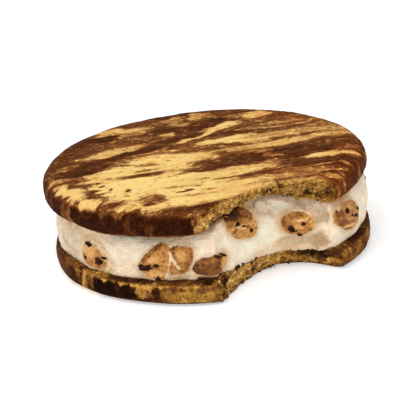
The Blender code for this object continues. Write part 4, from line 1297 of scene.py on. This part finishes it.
@dataclass
class Filling:
    """The disc of ice cream, frozen hard, with smooth sides and a torn face at the bite."""

    finish: IceCreamFinish
    voxel: float = 0.42 * MM
    swell: float = 0.20 * MM
    slump: float = 0.8
    dents: tuple[Dent, ...] = (
        Dent(14, -24, 19.5, 5.5, 0.9), Dent(21, -23.5, 17.5, 4.5, 0.8), Dent(18, -25, 9.5, 4.5, 0.6),
        Dent(14, -25.5, 13.5, 3.5, -0.6), Dent(10, -28, 10, 4.0, -0.7), Dent(29, -27.5, 12, 4.5, 0.7),
        Dent(25, -26, 9, 3.0, 0.5), Dent(5, -34, 12.5, 4.0, -0.4), Dent(17.5, -24.5, 15.8, 2.6, -0.6),
        Dent(30, -29, 17, 3.0, 0.5), Dent(33, -30, 12, 3.0, -0.4))
    piece: bpy.types.Object | None = None

    def build(self, zone: BiteZone, lumps: list[DoughLump]) -> bpy.types.Object:
        """Model, paint and dress the ice cream.

        Args:
            zone: Where the bite is.
            lumps: The lumps that it holds, already placed.

        Returns:
            The finished piece.
        """
        low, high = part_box("ice_cream")
        piece = self._solid(zone, lumps)
        points, normals = points_of(piece), normals_of(piece)
        bitten = zone.facing(points, normals, (low + high) / 2)
        side = ease(np.abs(normals[:, 2]), 0.9, 0.6)
        group = weigh(piece, "side_zone", side * (1.0 - bitten))
        torn = weigh(piece, "torn_zone", bitten)
        self._press(piece, points, normals)
        emboss(piece, relief_texture("CLOUDS", 6.0 * MM, noise_depth=2), 0.9 * MM, group)
        emboss(piece, relief_texture("CLOUDS", 1.6 * MM, noise_depth=3), 0.30 * MM, group)
        emboss(piece, relief_texture("CLOUDS", 3.4 * MM, noise_depth=2), 1.4 * MM, torn)
        emboss(piece, relief_texture("CLOUDS", 1.2 * MM, noise_depth=3), 0.50 * MM, torn)
        self._paint(piece, zone, lumps, points, bitten, low.z)
        smooth_shade(piece)
        dress(piece, self.finish.make(), "ice_cream", "ice_cream")
        self.piece = piece
        return piece

    def _solid(self, zone: BiteZone, lumps: list[DoughLump]) -> bpy.types.Object:
        """The ice cream as one skin, its pockets closed flush where the lumps sit."""
        piece = merged_copy("ice_cream", "vanilla_ice_cream")
        plugs = [merged_copy(lump.plan.node, "plug") for lump in lumps]
        for plug in plugs:
            emboss(plug, None, 0.32 * MM, middle=0.0)
        select_only(piece, *plugs)
        bpy.ops.object.join()
        apply(piece, "REMESH", mode="VOXEL", voxel_size=self.voxel)
        points = points_of(piece)
        covered = np.zeros(len(points))
        for lump in lumps:
            across, upward, outward = lump.on_face(points)
            low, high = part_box(lump.plan.node)
            width = 0.5 * (np.array(high - low) @ np.abs(np.array(lump.along))) / MM
            height = 0.5 * (high.z - low.z) / MM
            inside = np.hypot(across / (width + 0.9), upward / (height + 0.9))
            covered = np.maximum(covered, ease(inside, 1.08, 0.92) * (np.abs(outward) < 5.0))
        apply(piece, "SMOOTH", factor=0.5, iterations=260,
              vertex_group=weigh(piece, "plug_zone", covered, levels=4))
        apply(piece, "SMOOTH", factor=0.5, iterations=8)
        emboss(piece, None, self.swell, middle=0.0)
        self._seat(piece, zone)
        return piece

    def _seat(self, piece: bpy.types.Object, zone: BiteZone) -> None:
        """Press the ice cream's edges into both cookies, so that no gap shows."""
        low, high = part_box("ice_cream")
        points = points_of(piece)
        bitten = zone.facing(points, normals_of(piece), (low + high) / 2)
        foot = ease(points[:, 2], low.z + 2.6 * MM, low.z) * (1.0 - 0.75 * bitten)
        top = ease(points[:, 2], 15.0 * MM, 17.6 * MM)
        points[:, 2] += (0.6 * top - 0.95 * foot) * MM
        radius = np.hypot(points[:, 0], points[:, 1])
        angle = np.degrees(np.arctan2(points[:, 1], points[:, 0]))
        slumped = 0.35 + self.slump * ease(np.abs(angle + 120), 36, 12)
        points[:, :2] *= (1.0 + slumped * MM * foot / np.maximum(radius, 20 * MM))[:, None]
        piece.data.vertices.foreach_set("co", points.ravel())
        piece.data.update()

    def _press(self, piece: bpy.types.Object, points: Array, normals: Array) -> None:
        """Sculpt the hollows and swellings of the bitten face."""
        moved = points.copy()
        for dent in self.dents:
            away = np.linalg.norm(points - np.array([dent.x, dent.y, dent.z]) * MM, axis=1) / MM
            moved -= normals * (ease(away, dent.reach, 0.0) * dent.depth * MM)[:, None]
        piece.data.vertices.foreach_set("co", moved.ravel())
        piece.data.update()

    def _paint(self, piece: bpy.types.Object, zone: BiteZone, lumps: list[DoughLump], points: Array,
               bitten: Array, low: float) -> None:
        """Paint the light and shade of each place, the stains at the bite and round the lumps, and the warm painted
        shade under the upper cookie and along the foot.
        """
        unrolled = zone.unrolled(points)
        height = points[:, 2]
        angle = np.degrees(np.arctan2(points[:, 1], points[:, 0]))
        # Painted light and shade on the ice cream's side.
        side = CREAM_SIDE_LIGHT_AND_SHADE.paint(np.column_stack([angle, height / MM]), 9.0)
        stain_and_shade = CREAM_STAIN.paint(unrolled, 8.0) * bitten
        for lump in lumps:
            across, upward, outward = lump.on_face(points)
            gap = np.hypot(across, upward) - lump.reach(np.arctan2(upward, across))
            stain_and_shade = np.maximum(stain_and_shade, 0.62 * ease(gap, 2.2, -0.4) * (np.abs(outward) < 6.0))
        # Painted shade: warmer and darker just under the upper cookie and along the foot on the lower cookie, mixed in
        # with the stains.
        shade_under_top = ease(height, 15.8 * MM, 18.0 * MM) * (1.0 - bitten)
        shade_over_base = ease(height, low + 1.8 * MM, low - 0.4 * MM)
        # The tone painted here is light and shade: the side's, and at the bite the hollows' painted shade and the
        # swellings' painted highlights.
        paint(piece, "tone", side + (CREAM_BITE_LIGHT_AND_SHADE.paint(unrolled, 7.0) - side) * bitten)
        paint(piece, "stain_and_shade", np.clip(stain_and_shade + 0.48 * shade_under_top + 0.42 * shade_over_base, 0, 1))


# ---------------------------------------------------------------- crumbs


@dataclass
class Crumbs:
    """Loose grains standing on the broken faces, one mesh."""

    count: int = 3000
    smallest: float = 0.12 * MM
    largest: float = 0.54 * MM
    seed: int = 11

    def build(self, cookies: list[Cookie]) -> bpy.types.Object:
        """Scatter the crumbs over the cookies' broken faces.

        Args:
            cookies: The finished cookies.

        Returns:
            The finished piece.
        """
        random = np.random.default_rng(self.seed)
        pieces = [cookie.piece for cookie in cookies]
        points = np.concatenate([points_of(piece) for piece in pieces])
        normals = np.concatenate([normals_of(piece) for piece in pieces])
        bitten = np.concatenate([painted(piece, "crumb") for piece in pieces])
        tones = np.concatenate([painted(piece, "tone") for piece in pieces])
        weights = (bitten > 0.6) * ease(normals[:, 2], -0.97, -0.85) * ease(points[:, 2], 0.2 * MM, 0.8 * MM)
        picked = random.choice(len(points), self.count, p=weights / weights.sum())
        shape, faces = self._grain()
        corners, polygons, shades = [], [], []
        for number, index in enumerate(picked):
            size = self.smallest + (self.largest - self.smallest) * random.random() ** 2.4
            spin = Matrix.Rotation(6.28 * random.random(), 3, Vector(random.normal(size=3)))
            stretch = 0.7 + 0.6 * random.random(3)
            uneven = 1.0 + 0.22 * random.normal(size=(len(shape), 1))
            solid = (shape * uneven * stretch) @ np.array(spin).T * size
            shake = random.normal(size=3) * 0.15 * MM
            placed = solid + points[index] + shake - normals[index] * 0.10 * size
            placed[:, 2] = np.maximum(placed[:, 2], 0.0)
            corners.append(placed)
            polygons.append(faces + number * len(shape))
            shade = tones[index] + min(0.34 * random.normal() - 0.08, 0.22)
            shades.append(np.full(len(shape), shade))
        mesh = bpy.data.meshes.new("loose_crumbs")
        mesh.from_pydata(np.concatenate(corners).tolist(), [], np.concatenate(polygons).tolist())
        piece = bpy.data.objects.new("loose_crumbs", mesh)
        bpy.context.scene.collection.objects.link(piece)
        paint(piece, "tone", np.concatenate(shades))
        paint(piece, "pore_shade", np.zeros(self.count * len(shape)))
        select_only(piece)
        bpy.ops.object.shade_smooth_by_angle(angle=math.radians(50))
        dress(piece, CrumbFinish().make(), "cookie")
        return piece

    @staticmethod
    def _grain() -> tuple[Array, Array]:
        """Corners and faces of a twenty-sided grain of one unit."""
        bpy.ops.object.select_all(action="DESELECT")
        bpy.ops.mesh.primitive_ico_sphere_add(subdivisions=1, radius=1.0, location=(0, 0, 0))
        ball = bpy.context.view_layer.objects.active
        shape = points_of(ball)
        faces = np.array([list(face.vertices) for face in ball.data.polygons])
        bpy.ops.object.delete()
        return shape, faces


def painted(piece: bpy.types.Object, name: str) -> Array:
    """Numbers painted on a piece's points."""
    values = np.empty(len(piece.data.vertices), np.float32)
    piece.data.attributes[name].data.foreach_get("value", values)
    return values


# ---------------------------------------------------------------- studio


@dataclass(frozen=True)
class Softbox:
    """A square soft light aimed at the sandwich."""

    azimuth: float
    elevation: float
    distance: float
    size: float
    power: float
    colour: Colour = (1.0, 1.0, 1.0)


@dataclass
class Studio:
    """Pale floor, even light and the camera."""

    target: Vector
    elevation: float = math.radians(19.77)
    roll: float = math.radians(5.12)
    distance: float = 0.450
    lens: float = 146.8
    shift: tuple[float, float] = (0.0028, -0.0248)
    sky: float = 0.46
    lights: tuple[Softbox, ...] = (
        Softbox(-24, 60, 1.4, 0.9, 11.2), Softbox(-6, 14, 1.4, 0.9, 2.1),
        Softbox(75, 30, 1.3, 0.9, 2.4), Softbox(-150, 40, 1.4, 1.0, 2.6))

    def build(self) -> None:
        """Set up the floor, the sky, the lights and the camera."""
        self._floor()
        self._sky()
        for number, light in enumerate(self.lights):
            self._light(number, light)
        self._camera()

    def _floor(self) -> None:
        """A wide floor under the sandwich, which isn't part of it."""
        bpy.ops.object.select_all(action="DESELECT")
        bpy.ops.mesh.primitive_plane_add(size=6.0, location=(0, 0, -0.05 * MM))
        floor = bpy.context.view_layer.objects.active
        floor.name = "floor"
        bpy.ops.object.transform_apply(location=True, rotation=True, scale=True)
        floor.data.materials.append(FloorFinish().make())

    def _sky(self) -> None:
        """Even white light from all round."""
        world = bpy.data.worlds.new("studio")
        bpy.context.scene.world = world
        world.use_nodes = True
        background = world.node_tree.nodes["Background"]
        background.inputs["Color"].default_value = (1.0, 1.0, 1.0, 1.0)
        background.inputs["Strength"].default_value = self.sky

    def _light(self, number: int, light: Softbox) -> None:
        """One softbox, facing the target."""
        azimuth, elevation = math.radians(light.azimuth), math.radians(light.elevation)
        back = Vector((math.sin(azimuth) * math.cos(elevation),
                       -math.cos(azimuth) * math.cos(elevation), math.sin(elevation)))
        bpy.ops.object.light_add(type="AREA", location=self.target + back * light.distance)
        lamp = bpy.context.view_layer.objects.active
        lamp.name = f"softbox_{number}"
        lamp.rotation_euler = back.to_track_quat("Z", "Y").to_euler()
        lamp.data.shape = "SQUARE"
        lamp.data.size = light.size
        lamp.data.energy = light.power
        lamp.data.color = light.colour

    def _camera(self) -> None:
        """The camera, raised over the near side and rolled a little."""
        back = Vector((0.0, -math.cos(self.elevation), math.sin(self.elevation)))
        level = Vector((1.0, 0.0, 0.0))
        upright = back.cross(level)
        right = level * math.cos(self.roll) - upright * math.sin(self.roll)
        up = back.cross(right)
        bpy.ops.object.camera_add(location=self.target + back * self.distance)
        camera = bpy.context.view_layer.objects.active
        camera.rotation_euler = Matrix((right, up, back)).transposed().to_euler()
        camera.data.lens = self.lens
        camera.data.sensor_width = 36.0
        camera.data.shift_x, camera.data.shift_y = self.shift
        camera.data.clip_start = 0.01
        bpy.context.scene.camera = camera


# ---------------------------------------------------------------- the whole


CHOCOLATE_BAKE = BakedFinish(
    "marbled_cookie_top", linear(40, 16, 5), linear(82, 40, 14), linear(112, 64, 28),
    linear(150, 98, 50), linear(196, 144, 82), linear(234, 186, 108), linear(255, 220, 136), calm=0.5)
GOLDEN_BAKE = BakedFinish(
    "marbled_cookie_base", linear(28, 9, 3), linear(54, 25, 9), linear(92, 54, 24),
    linear(128, 86, 38), linear(164, 116, 50), linear(206, 156, 72), linear(238, 200, 116),
    blushing=0.35, calm=0.15)
CHIP_FINISH = GrainFinish("chocolate", linear(22, 8, 3), linear(66, 32, 14), 0.55)


def main() -> None:
    """Build every piece in order and report it."""
    logging.basicConfig(level=logging.INFO, format="%(name)s %(message)s")
    bpy.context.scene.view_settings.view_transform = "Standard"
    noise.seed_set(MARBLING_SEED)
    zone = BiteZone()
    arches = ((-17, -38, 17, 0.9), (4, -38, 11, 2.4), (10, -30, 6, 1.8))
    cookies = [Cookie(Layer.TOP, CHOCOLATE_BAKE, TOP_WALL, TOP_BITE, arches=arches),
               Cookie(Layer.BASE, GOLDEN_BAKE, BASE_WALL, BASE_BITE, frayed=2.0)]
    for cookie in cookies:
        cookie.build(zone)
    lumps = [DoughLump(plan, index) for index, plan in enumerate(LUMP_PLANS)]
    for lump in lumps:
        lump.place()
    filling = Filling(IceCreamFinish())
    cream = surface_of(filling.build(zone, lumps))
    dough = DoughFinish().make()
    for lump in lumps:
        lump.build(dough, cream)
    Chips(CHIP_FINISH).build(lumps)
    Crumbs().build(cookies)
    Studio(Vector((0.0, 0.0, 13 * MM))).build()


if __name__ == "__main__":
    main()
